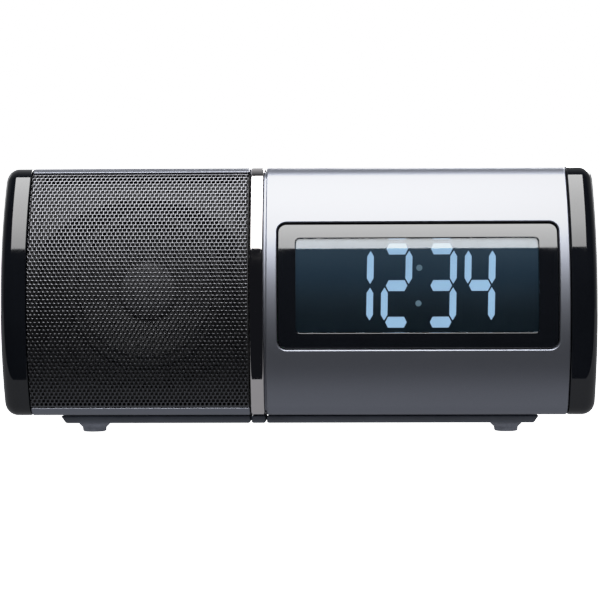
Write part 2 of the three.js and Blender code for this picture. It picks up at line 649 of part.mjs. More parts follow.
function buildSpeaker() {
    // Baffle: a curved board with a funnel that leads back to the driver.
    const reach = -HALF_DEPTH - 4;
    const funnelAt = (y, extra) => SPEAKER_BORE + extra + (DRIVER_Y - y) * FUNNEL_SLOPE;
    const mouthCut = speakerTurned([
        [0, -20], [SPEAKER_BORE, -20], [SPEAKER_BORE, DRIVER_Y],
        [funnelAt(reach, 0), reach], [0, reach]], 32);
    const mouthWall = speakerTurned([
        [0, -29.5], [33, -29.5], [33, -31.2], [funnelAt(-31.2, 2), -31.2],
        [funnelAt(reach, 2), reach], [0, reach]], 32);
    const left = LEFT_SEAM + CAP_LIP_LENGTH + 0.5;
    const right = BAND_LEFT - FRAME_RIB - 2 * GAP;
    const foot = frontAngle(BAFFLE_FOOT);
    const head = frontAngle(BAFFLE_HEAD);
    const board = wallStrip(foot, head, BAFFLE_INSET, BAFFLE_INSET + BAFFLE_THICK, left, right);
    const behindFace = throughWidth(toShape([
        ...outline(foot, head, BAFFLE_INSET), [0, BAFFLE_HEAD], [0, BAFFLE_FOOT]]), left, right);
    add('speaker_baffle', cut(join(board, common(mouthWall, behindFace)), [mouthCut]),
        darkPlastic);

    add('speaker_gasket', speakerTurned(
        [[28.6, -29.2], [31.4, -29.2], [31.4, -28.4], [28.6, -28.4]]), rubber);
    add('speaker_basket', speakerTurned([
        [27.8, -28.1], [31.5, -28.1], [31.5, -26.6], [29, -26.6], [18.6, -14.8], [8.6, -14.8],
        [8.6, -16], [17.4, -16], [27, -26.2]]), steel);
    const rollSteps = 4;
    const rollOuter = [];
    const rollInner = [];
    for (let i = 0; i <= rollSteps; i += 1) {
        const turn = Math.PI * i / rollSteps;
        rollOuter.push([26.1 + 1.7 * Math.cos(turn), -28.9 - 1.7 * Math.sin(turn)]);
        rollInner.unshift([26.1 + 1.2 * Math.cos(turn), -28.9 - 1.2 * Math.sin(turn)]);
    }
    add('speaker_surround', speakerTurned([
        [28.2, -28.4], [28.2, -28.9], ...rollOuter, [24, -28.9], [24, -28.4],
        ...rollInner.map(([r, y]) => [r, y + 0.5])]), rubber);

    // The moving assembly: cone, dust cap and voice coil.
    add('speaker_cone', speakerTurned([
        [7.9, -19], [23.6, -28.8], [23.6, -28.1], [14, -21.6], [7.9, -18.3]]), paperCone);
    add('dust_cap', speakerTurned([
        [0, -24.4], [5, -23.9], [8.4, -22.6], [10.2, -21], [9.7, -21], [8, -22.1], [4.8, -23.4],
        [0, -23.9]]), paperCone);
    add('voice_coil', speakerTurned([[7, -18.6], [7.6, -18.6], [7.6, -8], [7, -8]]),
        copperWinding);

    add('spider', speakerTurned([[7.9, -17.1], [15, -17.1], [15, -16.5], [7.9, -16.5]]),
        paperCone);
    add('speaker_top_plate', speakerTurned(
        [[8.1, -14.5], [17, -14.5], [17, -13.2], [8.1, -13.2]]), steel);
    add('speaker_magnet', speakerTurned(
        [[9, -12.9], [18, -12.9], [18, -4.2], [9, -4.2]]), ferrite);
    add('speaker_yoke', speakerTurned(
        [[0, -14.2], [6.6, -14.2], [6.6, -3.9], [17, -3.9], [17, -1.8], [0, -1.8]]), steel);
}

function buildControls() {
    const boardTop = CONTROL_BOARD_Z + BOARD_THICK;
    const switchTop = boardTop + SWITCH_HEIGHT;
    const stemBottom = switchTop + BUTTON_TRAVEL + GAP;
    const shellInner = BODY_TOP - WALL;

    // A cap through the shell, a flange that keeps it in, and a stem over each switch.
    const button = (x, y, length, width, stems) => {
        const capTop = topSurfaceZ(y) + BUTTON_PROUD;
        const under = shellInner - 2 * GAP;
        const cap = throughHeight(roundedRectangle(
            x - length / 2, x + length / 2, y - width / 2, y + width / 2, 1.5), under - 1, capTop);
        const flange = box(x - length / 2 - 1, x + length / 2 + 1, y - width / 2 - 1,
            y + width / 2 + 1, under - 1.2, under);
        const legs = stems.map((sx) => box(
            sx - STEM_HALF, sx + STEM_HALF, y - STEM_HALF, y + STEM_HALF, stemBottom, under - 0.5));
        return join(cap, flange, ...legs);
    };
    const snoozeStems = [SNOOZE.x - SNOOZE.length / 3, SNOOZE.x + SNOOZE.length / 3];
    add('snooze_bar', button(SNOOZE.x, SNOOZE.y, SNOOZE.length, SNOOZE.width, snoozeStems),
        satinSilver);
    Object.entries(BUTTONS).forEach(([name, x]) => {
        add(name, button(x, BUTTON_ROW_Y, BUTTON_LENGTH, BUTTON_WIDTH, [x]), satinSilver);
    });

    // The control board carries one soldered switch under each stem.
    const places = Object.values(BUTTONS).map((x) => [x, BUTTON_ROW_Y]);
    snoozeStems.forEach((x) => places.push([x, SNOOZE.y]));
    const half = SWITCH_SIZE / 2;
    const switches = places.map(([x, y]) => box(
        x - half, x + half, y - half, y + half, boardTop - 0.5, switchTop));
    add('control_board', join(
        box(-87, 82, 0, 31, CONTROL_BOARD_Z, boardTop), ...switches), boardGreen);
}

function buildElectronics() {
    const boardRear = MAIN_BOARD.y + BOARD_THICK;
    const canRear = MAIN_BOARD.y - GAP;
    add('main_board', box(MAIN_BOARD.x0, MAIN_BOARD.x1, MAIN_BOARD.y, boardRear,
        MAIN_BOARD.z0, MAIN_BOARD.z1), boardGreen);
    add('tuner_can', box(TUNER_CAN.x0, TUNER_CAN.x1, canRear - TUNER_CAN.depth, canRear,
        TUNER_CAN.z0, TUNER_CAN.z1), tinned);
    add('ferrite_rod', new THREE.CylinderGeometry(
        FERRITE_ROD.radius, FERRITE_ROD.radius, FERRITE_ROD.length, 16).rotateZ(Math.PI / 2)
        .translate(FERRITE_ROD.x, FERRITE_ROD.y, FERRITE_ROD.z), ferrite);

    const jackFront = boardRear + GAP;
    const jackMouth = rearSurfaceY(JACK.z, 0) - 0.4;
    const boreFloor = jackMouth - 8.5;
    const jackBody = box(JACK.x - JACK.halfWidth, JACK.x + JACK.halfWidth, jackFront, jackMouth,
        JACK.z - JACK.halfHeight, JACK.z + JACK.halfHeight);
    const alongY = (radius, y0, y1) => turned(
        [[0, y0], [radius, y0], [radius, y1], [0, y1]], 16).translate(JACK.x, 0, JACK.z);
    add('dc_jack', join(
        cut(jackBody, [alongY(JACK.bore, boreFloor, jackMouth + CUT)]),
        alongY(JACK.pin, boreFloor - 0.5, jackMouth - 0.8)), darkPlastic);

    // The rubber bush where the aerial wire leaves the rear.
    const skinY = rearSurfaceY(AERIAL.z, 0);
    const flange = AERIAL.neck + 1.4;
    const slope = 0.16 * flange;
    const innerY = skinY - WALL - GAP - slope;
    const outerY = skinY + GAP / 2 + slope;
    add('aerial_bush', turned([
        [AERIAL.bore, innerY - 0.9], [flange, innerY - 0.9], [flange, innerY],
        [AERIAL.neck, innerY], [AERIAL.neck, outerY], [flange, outerY],
        [flange - 0.4, outerY + 0.3], [AERIAL.bore, outerY + 0.3]], 16)
        .translate(AERIAL.x, 0, AERIAL.z), rubber);
}

function buildBattery() {
    const tray = box(BAY.x0 - BAY_WALL, BAY.x1 + BAY_WALL, BAY.y0 - BAY_WALL, BAY.y1,
        BAY.z0 - BAY_WALL, BAY.z1 + BAY_WALL);
    const hollow = box(BAY.x0, BAY.x1, BAY.y0, BAY.y1 + CUT, BAY.z0, BAY.z1);
    add('battery_tray', cut(tray, [hollow]), darkPlastic);

    const middleX = (BAY.x0 + BAY.x1) / 2;
    const cellY = BAY.y0 + CELL_RADIUS + GAP;
    const cellProfile = [
        [0, 0], [CELL_RADIUS - 0.5, 0], [CELL_RADIUS, 0.5], [CELL_RADIUS, CELL_LENGTH - 1.4],
        [CELL_RADIUS - 0.5, CELL_LENGTH - 0.9], [1.9, CELL_LENGTH - 0.9], [1.9, CELL_LENGTH],
        [0, CELL_LENGTH]];
    const cell = (direction, z) => turned(cellProfile, 16).rotateZ(direction * Math.PI / 2)
        .translate(middleX + direction * CELL_LENGTH / 2, cellY, z);
    const lowZ = BAY.z0 + CELL_RADIUS + 2 * GAP;
    const highZ = BAY.z1 - CELL_RADIUS - 2 * GAP;
    add('battery_cell_lower', cell(1, lowZ), cellWrap);
    add('battery_cell_upper', cell(-1, highZ), cellWrap);

    const contact = (x) => box(x, x + 0.5, BAY.y0 + GAP, BAY.y1 - 1, BAY.z0 + 1, BAY.z1 - 1);
    add('battery_contact_left', contact(BAY.x0 + GAP), tinned);
    add('battery_contact_right', contact(BAY.x1 - GAP - 0.5), tinned);

    add('battery_door', common(
        wallStrip(rearAngle(DOOR.z1 + CUT), rearAngle(DOOR.z0 - CUT), 0, DOOR.thick,
            DOOR.x0 + GAP, DOOR.x1 - GAP),
        box(DOOR.x0, DOOR.x1, REAR_CUT_Y, HALF_DEPTH + CUT, DOOR.z0 + GAP, DOOR.z1 - GAP)), darkPlastic);
}

buildCasing();
buildShells();
buildBase();
buildDisplay();
buildSpeaker();
buildControls();
buildElectronics();
buildBattery();

export default radio;
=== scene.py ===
"""Looks of the clock radio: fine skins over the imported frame, materials, studio and camera."""

import json
from collections import namedtuple
from math import acos, asin, atan, atan2, ceil, cos, degrees, floor, hypot, pi, radians, sin, sqrt, tan

import bmesh
import bpy
import numpy as np
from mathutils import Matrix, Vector, geometry


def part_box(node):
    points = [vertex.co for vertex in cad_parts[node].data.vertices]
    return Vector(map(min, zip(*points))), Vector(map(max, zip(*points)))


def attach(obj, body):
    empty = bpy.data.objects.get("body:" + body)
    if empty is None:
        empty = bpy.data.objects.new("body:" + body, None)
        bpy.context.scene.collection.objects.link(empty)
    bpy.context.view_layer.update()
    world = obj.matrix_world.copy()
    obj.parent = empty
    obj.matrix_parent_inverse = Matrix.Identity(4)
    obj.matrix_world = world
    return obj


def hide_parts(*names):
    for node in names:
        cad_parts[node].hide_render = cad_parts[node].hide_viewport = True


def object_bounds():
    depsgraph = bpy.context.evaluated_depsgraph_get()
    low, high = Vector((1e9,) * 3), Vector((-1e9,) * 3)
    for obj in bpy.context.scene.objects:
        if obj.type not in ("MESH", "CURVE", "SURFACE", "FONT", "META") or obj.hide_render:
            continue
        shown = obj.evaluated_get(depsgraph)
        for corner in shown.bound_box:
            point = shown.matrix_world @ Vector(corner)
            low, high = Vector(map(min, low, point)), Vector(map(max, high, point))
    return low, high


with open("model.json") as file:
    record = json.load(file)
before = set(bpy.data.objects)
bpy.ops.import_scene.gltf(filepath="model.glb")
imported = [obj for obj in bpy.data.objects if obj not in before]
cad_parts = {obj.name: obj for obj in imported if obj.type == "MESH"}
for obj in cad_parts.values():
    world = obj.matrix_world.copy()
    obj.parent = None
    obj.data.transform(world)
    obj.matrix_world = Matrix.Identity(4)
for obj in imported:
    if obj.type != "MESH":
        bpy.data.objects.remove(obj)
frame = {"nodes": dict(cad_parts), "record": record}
cad_low, cad_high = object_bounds()

# Lengths are millimetres until a mesh is made, and MM turns them into metres.
MM = 0.001


def span(node):
    """The lowest and highest corner of a CAD node, in millimetres."""
    return [[v / MM for v in corner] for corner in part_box(node)]


def middle_of(node, axis):
    low, high = span(node)
    return (low[axis] + high[axis]) / 2


def directions(start, sweep, steps):
    """The cosine and sine of steps + 1 angles, from start through a sweep, in degrees."""
    turns = [radians(start + sweep * k / steps) for k in range(steps + 1)]
    return [(cos(turn), sin(turn)) for turn in turns]


# ---- casing dimensions
HALF_DEPTH = cad_high.y / MM
HALF_WIDTH = cad_high.x / MM
BODY_TOP = span("left_end_cap")[1][2]
BODY_BOTTOM = 6.4
LEFT_SEAM = -94.0
RIGHT_SEAM = 94.0
GAP = 0.3
WALL = 2.4

FRONT_RADIUS = 90.0
FRONT_HEIGHT = 46.0
TOP_RADIUS = 900.0
TOP_CREST_Y = 4.0
REAR_RADIUS = 140.0
REAR_HEIGHT = 48.0
UNDER_RADIUS = 4000.0
FRONT_TOP_CORNER = 7.5
FRONT_BOTTOM_CORNER = 6.2
REAR_TOP_CORNER = 12.0
REAR_BOTTOM_CORNER = 8.0

CAP_EDGE = 4.5
CAP_BULGE = 1.5
CAP_WALL = 2.5

BAND_LEFT, BAND_RIGHT = (corner[0] for corner in span("center_band"))
BAND_THICK = 1.2
BAND_EDGE = 0.8
PANEL_LEFT = -11.1
GRILLE_RIGHT = span("speaker_grille")[1][0]
GRILLE_TOP_ANGLE = 134.0
GRILLE_BOTTOM_ANGLE = 212.0
FRONT_SPLIT_TOP_Y = -20.0
FRONT_SPLIT_UNDER_Y = -25.0
REAR_SPLIT_UNDER_Y = 28.0
# Sunken stretches of wall lie this deep, under the band and beside the panel.
SUNK_INSET = 1.5
SUNK_THICK = 0.9


# ---- the cross-section
Arc = namedtuple("Arc", "y z r")


def corner_arc(a, b, r, side_y, side_z):
    """The arc of radius r that touches arcs a and b from inside, towards one side."""
    ra, rb = a.r - r, b.r - r
    dy, dz = b.y - a.y, b.z - a.z
    distance = hypot(dy, dz)
    along = (ra * ra - rb * rb + distance * distance) / (2 * distance)
    across = sqrt(ra * ra - along * along)
    found = [Arc(a.y + (along * dy - sign * across * dz) / distance,
                 a.z + (along * dz + sign * across * dy) / distance, r) for sign in (1, -1)]
    return max(found, key=lambda arc: arc.y * side_y + arc.z * side_z)


front = Arc(-HALF_DEPTH + FRONT_RADIUS, FRONT_HEIGHT, FRONT_RADIUS)
top = Arc(TOP_CREST_Y, BODY_TOP - TOP_RADIUS, TOP_RADIUS)
rear = Arc(HALF_DEPTH - REAR_RADIUS, REAR_HEIGHT, REAR_RADIUS)
under = Arc(0, BODY_BOTTOM + UNDER_RADIUS, UNDER_RADIUS)
front_top = corner_arc(front, top, FRONT_TOP_CORNER, -1, 1)
rear_top = corner_arc(top, rear, REAR_TOP_CORNER, 1, 1)
rear_bottom = corner_arc(rear, under, REAR_BOTTOM_CORNER, 1, -1)
front_bottom = corner_arc(under, front, FRONT_BOTTOM_CORNER, -1, -1)


def direction(arc, corner):
    return degrees(atan2(corner.z - arc.z, corner.y - arc.y))


# The outline runs up the face, back over the top, down the rear and forward underneath.
# The direction of its normal falls all the way, from LOOP_START round to LOOP_START - 360.
LOOP_START = direction(front, front_bottom) + 360
ARCS = [front, front_top, top, rear_top, rear, rear_bottom, under, front_bottom]
BREAKS = [LOOP_START]
BREAKS += [direction(arc, corner) for arc, corner in (
    (front, front_top), (top, front_top), (top, rear_top), (rear, rear_top),
    (rear, rear_bottom), (under, rear_bottom), (under, front_bottom))]
BREAKS.append(LOOP_START - 360)
LENGTHS = [0.0]
for arc, start, end in zip(ARCS, BREAKS, BREAKS[1:]):
    LENGTHS.append(LENGTHS[-1] + arc.r * radians(start - end))
ROUND = LENGTHS[-1]
TINY = 1e-9


def arc_at(angle):
    """The number of the arc whose normal has this direction, and the direction in the loop."""
    within = angle + floor((LOOP_START - angle) / 360) * 360
    for i in range(len(ARCS)):
        if within >= BREAKS[i + 1] - TINY:
            return i, within
    return len(ARCS) - 1, within


def length_at(angle):
    """Distance along the outline, from its start, of the point with this normal."""
    turns = floor((LOOP_START - angle) / 360)
    i, within = arc_at(angle)
    return LENGTHS[i] + ARCS[i].r * radians(BREAKS[i] - within) + turns * ROUND


def angle_at(length):
    turns = floor(length / ROUND)
    rest = length - turns * ROUND
    i = max(k for k in range(len(ARCS)) if LENGTHS[k] <= rest + TINY)
    return BREAKS[i] - degrees((rest - LENGTHS[i]) / ARCS[i].r) - 360 * turns


def wall_point(x, s, inset):
    """The point of the wall at x across and s along the outline, inset from the outside."""
    i, within = arc_at(angle_at(s))
    reach, turn = ARCS[i].r - inset, radians(within)
    return x, ARCS[i].y + reach * cos(turn), ARCS[i].z + reach * sin(turn)


def wall_normal(s):
    turn = radians(angle_at(s))
    return Vector((0, cos(turn), sin(turn)))


def wall_way(s, dx, ds):
    """The direction in the wall's surface that goes dx across and ds along the outline."""
    turn = radians(angle_at(s))
    return Vector((dx, ds * sin(turn), -ds * cos(turn)))


def front_length(z):
    return length_at(180 - degrees(asin((z - front.z) / front.r)))


def rear_length(z):
    return length_at(degrees(asin((z - rear.z) / rear.r)))


def top_length(y):
    return length_at(degrees(acos((y - top.y) / top.r)))


def under_length(y):
    return length_at(-degrees(acos((y - under.y) / under.r)))


# Lengths round the outline, close together where it bends, and the same for three laps.
STATION_STEP = 2.6
STATION_BEND = 5.0
STATIONS = []
for i, arc in enumerate(ARCS):
    run = LENGTHS[i + 1] - LENGTHS[i]
    bend = BREAKS[i] - BREAKS[i + 1]
    count = max(1, ceil(run / STATION_STEP), ceil(bend / STATION_BEND))
    STATIONS += [LENGTHS[i] + run * k / count for k in range(count)]
LAPS = [s + lap * ROUND for lap in (-1, 0, 1) for s in STATIONS]


# ---- skins
class Skin:
    """Collects faces, each with a chosen normal at every corner, and makes the object."""

    def __init__(self):
        self.points, self.faces, self.normals, self.slots = [], [], [], []

    def add(self, point):
        self.points.append(Vector(point))
        return len(self.points) - 1

    def face(self, corners, slot=0):
        """A face between [point number, normal] corners, which looks where they do."""
        a, b, c, *rest = (self.points[i] for i, _ in corners)
        turn = (c - a).cross(rest[0] - b) if len(corners) == 4 else (b - a).cross(c - a)
        if turn.length < TINY:
            return
        if turn.dot(sum((normal for _, normal in corners), Vector())) < 0:
            corners = corners[::-1]
        self.faces.append([i for i, _ in corners])
        self.normals += [normal.normalized() for _, normal in corners]
        self.slots.append(slot)

    def strips(self, rows, slot=0):
        """Faces between rings of corners that run side by side."""
        for lower, upper in zip(rows, rows[1:]):
            for i in range(len(lower)):
                j = (i + 1) % len(lower)
                self.face([lower[i], lower[j], upper[j], upper[i]], slot)

    def row(self, points, normals):
        return [(self.add(point), normal) for point, normal in zip(points, normals)]

    def make(self, name, material, *replaced, body="housing"):
        mesh = bpy.data.meshes.new(name)
        mesh.from_pydata([p * MM for p in self.points], [], self.faces)
        mesh.polygons.foreach_set("use_smooth", [True] * len(self.faces))
        piece = place(name, mesh, material, *replaced, body=body)
        mesh.polygons.foreach_set("material_index", self.slots)
        mesh.normals_split_custom_set(self.normals)
        return piece


def link(name, data):
    """A new object in the scene."""
    made = bpy.data.objects.new(name, data)
    bpy.context.scene.collection.objects.link(made)
    return made


def place(name, mesh, material, *replaced, body="housing"):
    """Links a mesh, in its material, as a piece that rides on a body."""
    mesh.materials.append(MATERIALS[material])
    piece = link(name, mesh)
    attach(piece, body)
    SLOTS.get(material, material)
    if replaced:
        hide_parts(*replaced)
    return piece


class Loop:
    """A rounded rectangle on the unrolled wall: x across, s along the outline."""

    def __init__(self, x0, x1, s0, s1, corner=0.5):
        self.x0, self.x1, self.s0, self.s1 = x0, x1, min(s0, s1), max(s0, s1)
        self.corner = min(corner, (self.x1 - self.x0) / 2, (self.s1 - self.s0) / 2)

    def points(self, grow, columns):
        """Points round the loop, moved out by grow, and the way out of each one."""
        c, margin = self.corner, 0.25
        x0, x1, s0, s1 = self.x0 + c, self.x1 - c, self.s0 + c, self.s1 - c
        xs = [x for x in columns if x0 + margin < x < x1 - margin]
        ss = [s for s in LAPS if s0 + margin < s < s1 - margin]
        sides = [
            ((x1, s0), [(x, self.s0, 0, -1) for x in xs]),
            ((x1, s1), [(self.x1, s, 1, 0) for s in ss]),
            ((x0, s1), [(x, self.s1, 0, 1) for x in reversed(xs)]),
            ((x0, s0), [(self.x0, s, -1, 0) for s in reversed(ss)]),
        ]
        found = []
        steps = max(3, min(10, ceil(c * 2.5)))
        for k, ((cx, cs), side) in enumerate(sides):
            found += [(x + grow * nx, s + grow * ns, nx, ns) for x, s, nx, ns in side]
            found += [(cx + (c + grow) * nx, cs + (c + grow) * ns, nx, ns)
                      for nx, ns in directions(90 * k - 90, 90, steps)]
        return found

    def depth(self, x, s):
        """How far a point is inside the loop; below zero it is outside."""
        qx = abs(x - (self.x0 + self.x1) / 2) - (self.x1 - self.x0) / 2 + self.corner
        qs = abs(s - (self.s0 + self.s1) / 2) - (self.s1 - self.s0) / 2 + self.corner
        return self.corner - hypot(max(qx, 0), max(qs, 0)) - min(max(qx, qs), 0)


def flat_triangles(rings, inner, outer, holes, edge):
    """Triangles of the unrolled plate between its rings, by constrained triangulation."""
    plan, edges = [], []
    for ring in rings:
        first, count = len(plan), len(ring)
        plan += [(x, s) for x, s, _, _ in ring]
        edges += [(first + i, first + (i + 1) % count) for i in range(count)]
    plan += inner
    found = geometry.delaunay_2d_cdt([Vector(p) for p in plan], edges, [], 0, 1e-6)
    places, _, faces, origins, _, _ = found
    source = [o[0] if o else None for o in origins]
    keep = []
    for face in faces:
        x = sum(places[i].x for i in face) / 3
        s = sum(places[i].y for i in face) / 3
        if outer.depth(x, s) < edge * 0.9 or any(h.depth(x, s) > -edge * 0.9 for h in holes):
            continue
        if all(source[i] is not None for i in face):
            keep.append([source[i] for i in face])
    return plan, keep


def plate(skin, outer, holes, inset, thick, edge=0.3, step=3.0, slot=0):
    """A piece of curved wall with rounded edges, between inset and inset + thick."""
    count = max(2, ceil((outer.x1 - outer.x0) / step) + 1)
    columns = [float(x) for x in np.linspace(outer.x0, outer.x1, count)]
    clear = edge + 0.35
    inner = [(x, s) for s in LAPS if outer.s0 < s < outer.s1 for x in columns
             if outer.depth(x, s) >= clear and all(h.depth(x, s) <= -clear for h in holes)]
    rings = [outer.points(-edge, columns)] + [hole.points(edge, columns) for hole in holes]
    plan, triangles = flat_triangles(rings, inner, outer, holes, edge)

    face_row = skin.row([wall_point(x, s, inset) for x, s in plan],
                        [wall_normal(s) for _, s in plan])
    back_row = skin.row([wall_point(x, s, inset + thick) for x, s in plan],
                        [-wall_normal(s) for _, s in plan])
    for triangle in triangles:
        skin.face([face_row[i] for i in triangle], slot)
        skin.face([back_row[i] for i in triangle], slot)

    def edge_row(ring, depth, out, aside):
        """A row of the rounded edge, whose normal leans out of the wall and aside."""
        return skin.row([wall_point(x, s, inset + depth) for x, s, _, _ in ring],
                        [wall_normal(s) * out + wall_way(s, nx, ns) * aside
                         for _, s, nx, ns in ring])

    first = 0
    back_edge = 0.15
    for loop in [outer, *holes]:
        sign = 1 if loop is outer else -1
        rim = loop.points(0, columns)
        rows = [face_row[first:first + len(rim)]]
        for out, aside in directions(0, 90, 3)[1:]:
            ring = loop.points(-sign * edge * (1 - aside), columns)
            rows.append(edge_row(ring, edge * (1 - out), out, sign * aside))
        rows.append(edge_row(rim, thick - back_edge, 0, sign))
        skin.strips(rows, slot)
        slanted = [normal - wall_normal(s) for (_, normal), (_, s, _, _) in zip(rows[-1], rim)]
        ends = [rows[-1], back_row[first:first + len(rim)]]
        skin.strips([[(i, way) for (i, _), way in zip(row, slanted)] for row in ends], slot)
        first += len(rim)


# ---- simple meshes
SHARP = radians(35)


def sharpen(mesh):
    """Smooth shading that breaks at sharp edges."""
    work = bmesh.new()
    work.from_mesh(mesh)
    bmesh.ops.recalc_face_normals(work, faces=work.faces)
    for edge in work.edges:
        if len(edge.link_faces) == 2:
            edge.smooth = edge.calc_face_angle(0) < SHARP
    for face in work.faces:
        face.smooth = True
    work.to_mesh(mesh)
    work.free()


def bake(piece):
    """Replaces a piece's mesh by what its modifiers make of it."""
    graph = bpy.context.evaluated_depsgraph_get()
    mesh = bpy.data.meshes.new_from_object(piece.evaluated_get(graph))
    piece.modifiers.clear()
    old, piece.data = piece.data, mesh
    bpy.data.meshes.remove(old)


def softened(piece, width, segments=2):
    """Rounds a piece's sharp edges for good."""
    bevel = piece.modifiers.new("edges", "BEVEL")
    bevel.width = width * MM
    bevel.segments = segments
    bevel.limit_method = "ANGLE"
    bevel.angle_limit = SHARP
    bevel.harden_normals = False
    bake(piece)
    sharpen(piece.data)
    return piece


def turned(name, profile, axis, centre, material, *replaced, body="housing", sides=96, edge=0.12):
    """A piece turned from [radius, distance along axis] points, closed on itself."""
    points, rings, faces = [], [], []
    for r, along in profile:
        count = 1 if r == 0 else sides
        rings.append([len(points) + i for i in range(count)])
        for across, up in directions(0, 360, sides)[:count]:
            point = [r * across, r * up]
            point.insert("xyz".index(axis), along)
            points.append([(c + v) * MM for c, v in zip(centre, point)])
    pairs = list(zip(rings, rings[1:]))
    if len(rings[0]) > 1 or len(rings[-1]) > 1:
        pairs.append((rings[-1], rings[0]))
    for a, b in pairs:
        for i in range(sides):
            j = (i + 1) % sides
            corners = (a[i % len(a)], b[i % len(b)], b[j % len(b)], a[j % len(a)])
            corners = list(dict.fromkeys(corners))
            if len(corners) > 2:
                faces.append(corners)
    mesh = bpy.data.meshes.new(name)
    mesh.from_pydata(points, [], faces)
    sharpen(mesh)
    piece = place(name, mesh, material, *replaced, body=body)
    return softened(piece, edge) if edge else piece


def boxed(name, boxes, material, body="housing", edge=0.3):
    """Blocks with rounded edges, each between its lowest and its highest corner."""
    mesh = bpy.data.meshes.new(name)
    work = bmesh.new()
    for low, high in boxes:
        for vertex in bmesh.ops.create_cube(work, size=1)["verts"]:
            for k in range(3):
                vertex.co[k] = (low[k] if vertex.co[k] < 0 else high[k]) * MM
    work.to_mesh(mesh)
    work.free()
    return softened(place(name, mesh, material, body=body), edge)


# ---- materials
class Nodes:
    """A node tree under construction."""

    def __init__(self, tree):
        self.tree = tree

    def node(self, kind, inputs=None, **settings):
        """A new node. Each input is a value, or a socket to be linked to it."""
        made = self.tree.nodes.new(kind)
        for key, value in settings.items():
            setattr(made, key, value)
        for socket, value in (inputs or {}).items():
            self.feed(made.inputs[socket], value)
        return made

    def feed(self, socket, value):
        if isinstance(value, bpy.types.NodeSocket):
            self.tree.links.new(value, socket)
        else:
            socket.default_value = value

    def ramp(self, factor, *stops):
        """Colour along [position, colour] stops."""
        made = self.node("ShaderNodeValToRGB", {"Fac": factor})
        elements = made.color_ramp.elements
        for stop, (position, color) in ((elements[0], stops[0]), (elements[1], stops[-1])):
            stop.position = position
            stop.color = (*color, 1)
        for position, color in stops[1:-1]:
            elements.new(position).color = (*color, 1)
        return made.outputs["Color"]

    def remap(self, value, source, target):
        made = self.node("ShaderNodeMapRange", {
            "Value": value, "From Min": source[0], "From Max": source[1],
            "To Min": target[0], "To Max": target[1]})
        return made.outputs["Result"]

    def split(self, vector, axis):
        return self.node("ShaderNodeSeparateXYZ", {"Vector": vector}).outputs[axis]

    def backdrop(self, path, level):
        """The given light level for the room, and the backdrop's full white for the camera."""
        return self.remap(path.outputs["Is Camera Ray"], (0, 1), (level, BACKDROP))


# Noise rarely leaves this range, so its spread over the surface is measured by it.
NOISE_RANGE = (0.3, 0.7)


class Shader(Nodes):
    """A node material under construction."""

    def __init__(self, name, color, roughness, metallic=0.0, **sockets):
        self.material = bpy.data.materials.new(name)
        self.material.use_nodes = True
        super().__init__(self.material.node_tree)
        self.inputs = self.tree.nodes["Principled BSDF"].inputs
        self.inputs["Base Color"].default_value = (*color, 1)
        self.inputs["Roughness"].default_value = roughness
        self.inputs["Metallic"].default_value = metallic
        for key, value in sockets.items():
            self.feed(self.inputs[key.replace("_", " ")], value)
        self.color = color
        self.where = self.node("ShaderNodeTexCoord").outputs["Object"]

    def noise(self, size_mm, detail, stretch=(1, 1, 1)):
        """Noise whose features are about size_mm across."""
        vector = self.node("ShaderNodeMapping", {"Vector": self.where, "Scale": stretch})
        return self.node("ShaderNodeTexNoise", {
            "Vector": vector.outputs["Vector"], "Scale": 1 / (size_mm * MM), "Detail": detail,
            "Roughness": 0.55}).outputs["Fac"]

    def rough(self, factor, low, high):
        self.feed(self.inputs["Roughness"], self.remap(factor, NOISE_RANGE, (low, high)))

    def shade(self, factor, low, high, socket="Base Color"):
        """Colour varied by factor, between low and high times the base colour."""
        dark, light = ([c * times for c in self.color] for times in (low, high))
        stops = zip(NOISE_RANGE, (dark, light))
        self.feed(self.inputs[socket], self.ramp(factor, *stops))

    def bump(self, factor, height_mm):
        made = self.node("ShaderNodeBump", {"Distance": height_mm * MM, "Height": factor})
        self.feed(self.inputs["Normal"], made.outputs["Normal"])


def surface(name, color, roughness, metallic, shade, rough=None, bump=None, **sockets):
    """A varied material. shade and rough are [pattern, low, high], and bump is [pattern, mm].

    A pattern is a function of the shader, or the size, detail and stretch of noise.
    """
    shader = Shader(name, color, roughness, metallic, **sockets)
    for vary, recipe in ((shader.shade, shade), (shader.rough, rough), (shader.bump, bump)):
        if recipe:
            pattern, *levels = recipe
            vary(pattern(shader) if callable(pattern) else shader.noise(*pattern), *levels)
    return shader.material


def gloss_black(name, ior):
    return surface(name, (0.0022, 0.0026, 0.0036), 0.05, 0, ((30, 3), 0.85, 1.2),
                   ((9, 4), 0.03, 0.07), IOR=ior)


def lacquer(name, color, dark, low, high):
    """Fine metallic lacquer, whose roughness varies from low to high."""
    return surface(name, color, (low + high) / 2, 1, ((0.18, 1), dark, 1.05), ((0.3, 2), low, high))


def moulded(name, color, roughness):
    """Moulded plastic with a fine spark-eroded grain."""
    grain = (0.35, 3)
    return surface(name, color, roughness, 0, ((12, 4), 0.88, 1.12),
                   (grain, roughness - 0.07, roughness + 0.09), (grain, 0.02), IOR=1.48)


def rubber(name, color):
    return surface(name, color, 0.7, 0, ((2.0, 4), 0.8, 1.25), ((0.6, 3), 0.65, 0.85),
                   ((0.25, 3), 0.02))


def paper(name, color):
    fibres = (0.5, 5, (1, 3, 1))
    return surface(name, color, 0.75, 0, (fibres, 0.7, 1.35), (fibres, 0.62, 0.85), (fibres, 0.04))


def coils(shader):
    return shader.node("ShaderNodeTexWave", {"Vector": shader.where, "Scale": 1800},
                       wave_type="BANDS", bands_direction="Y").outputs["Fac"]


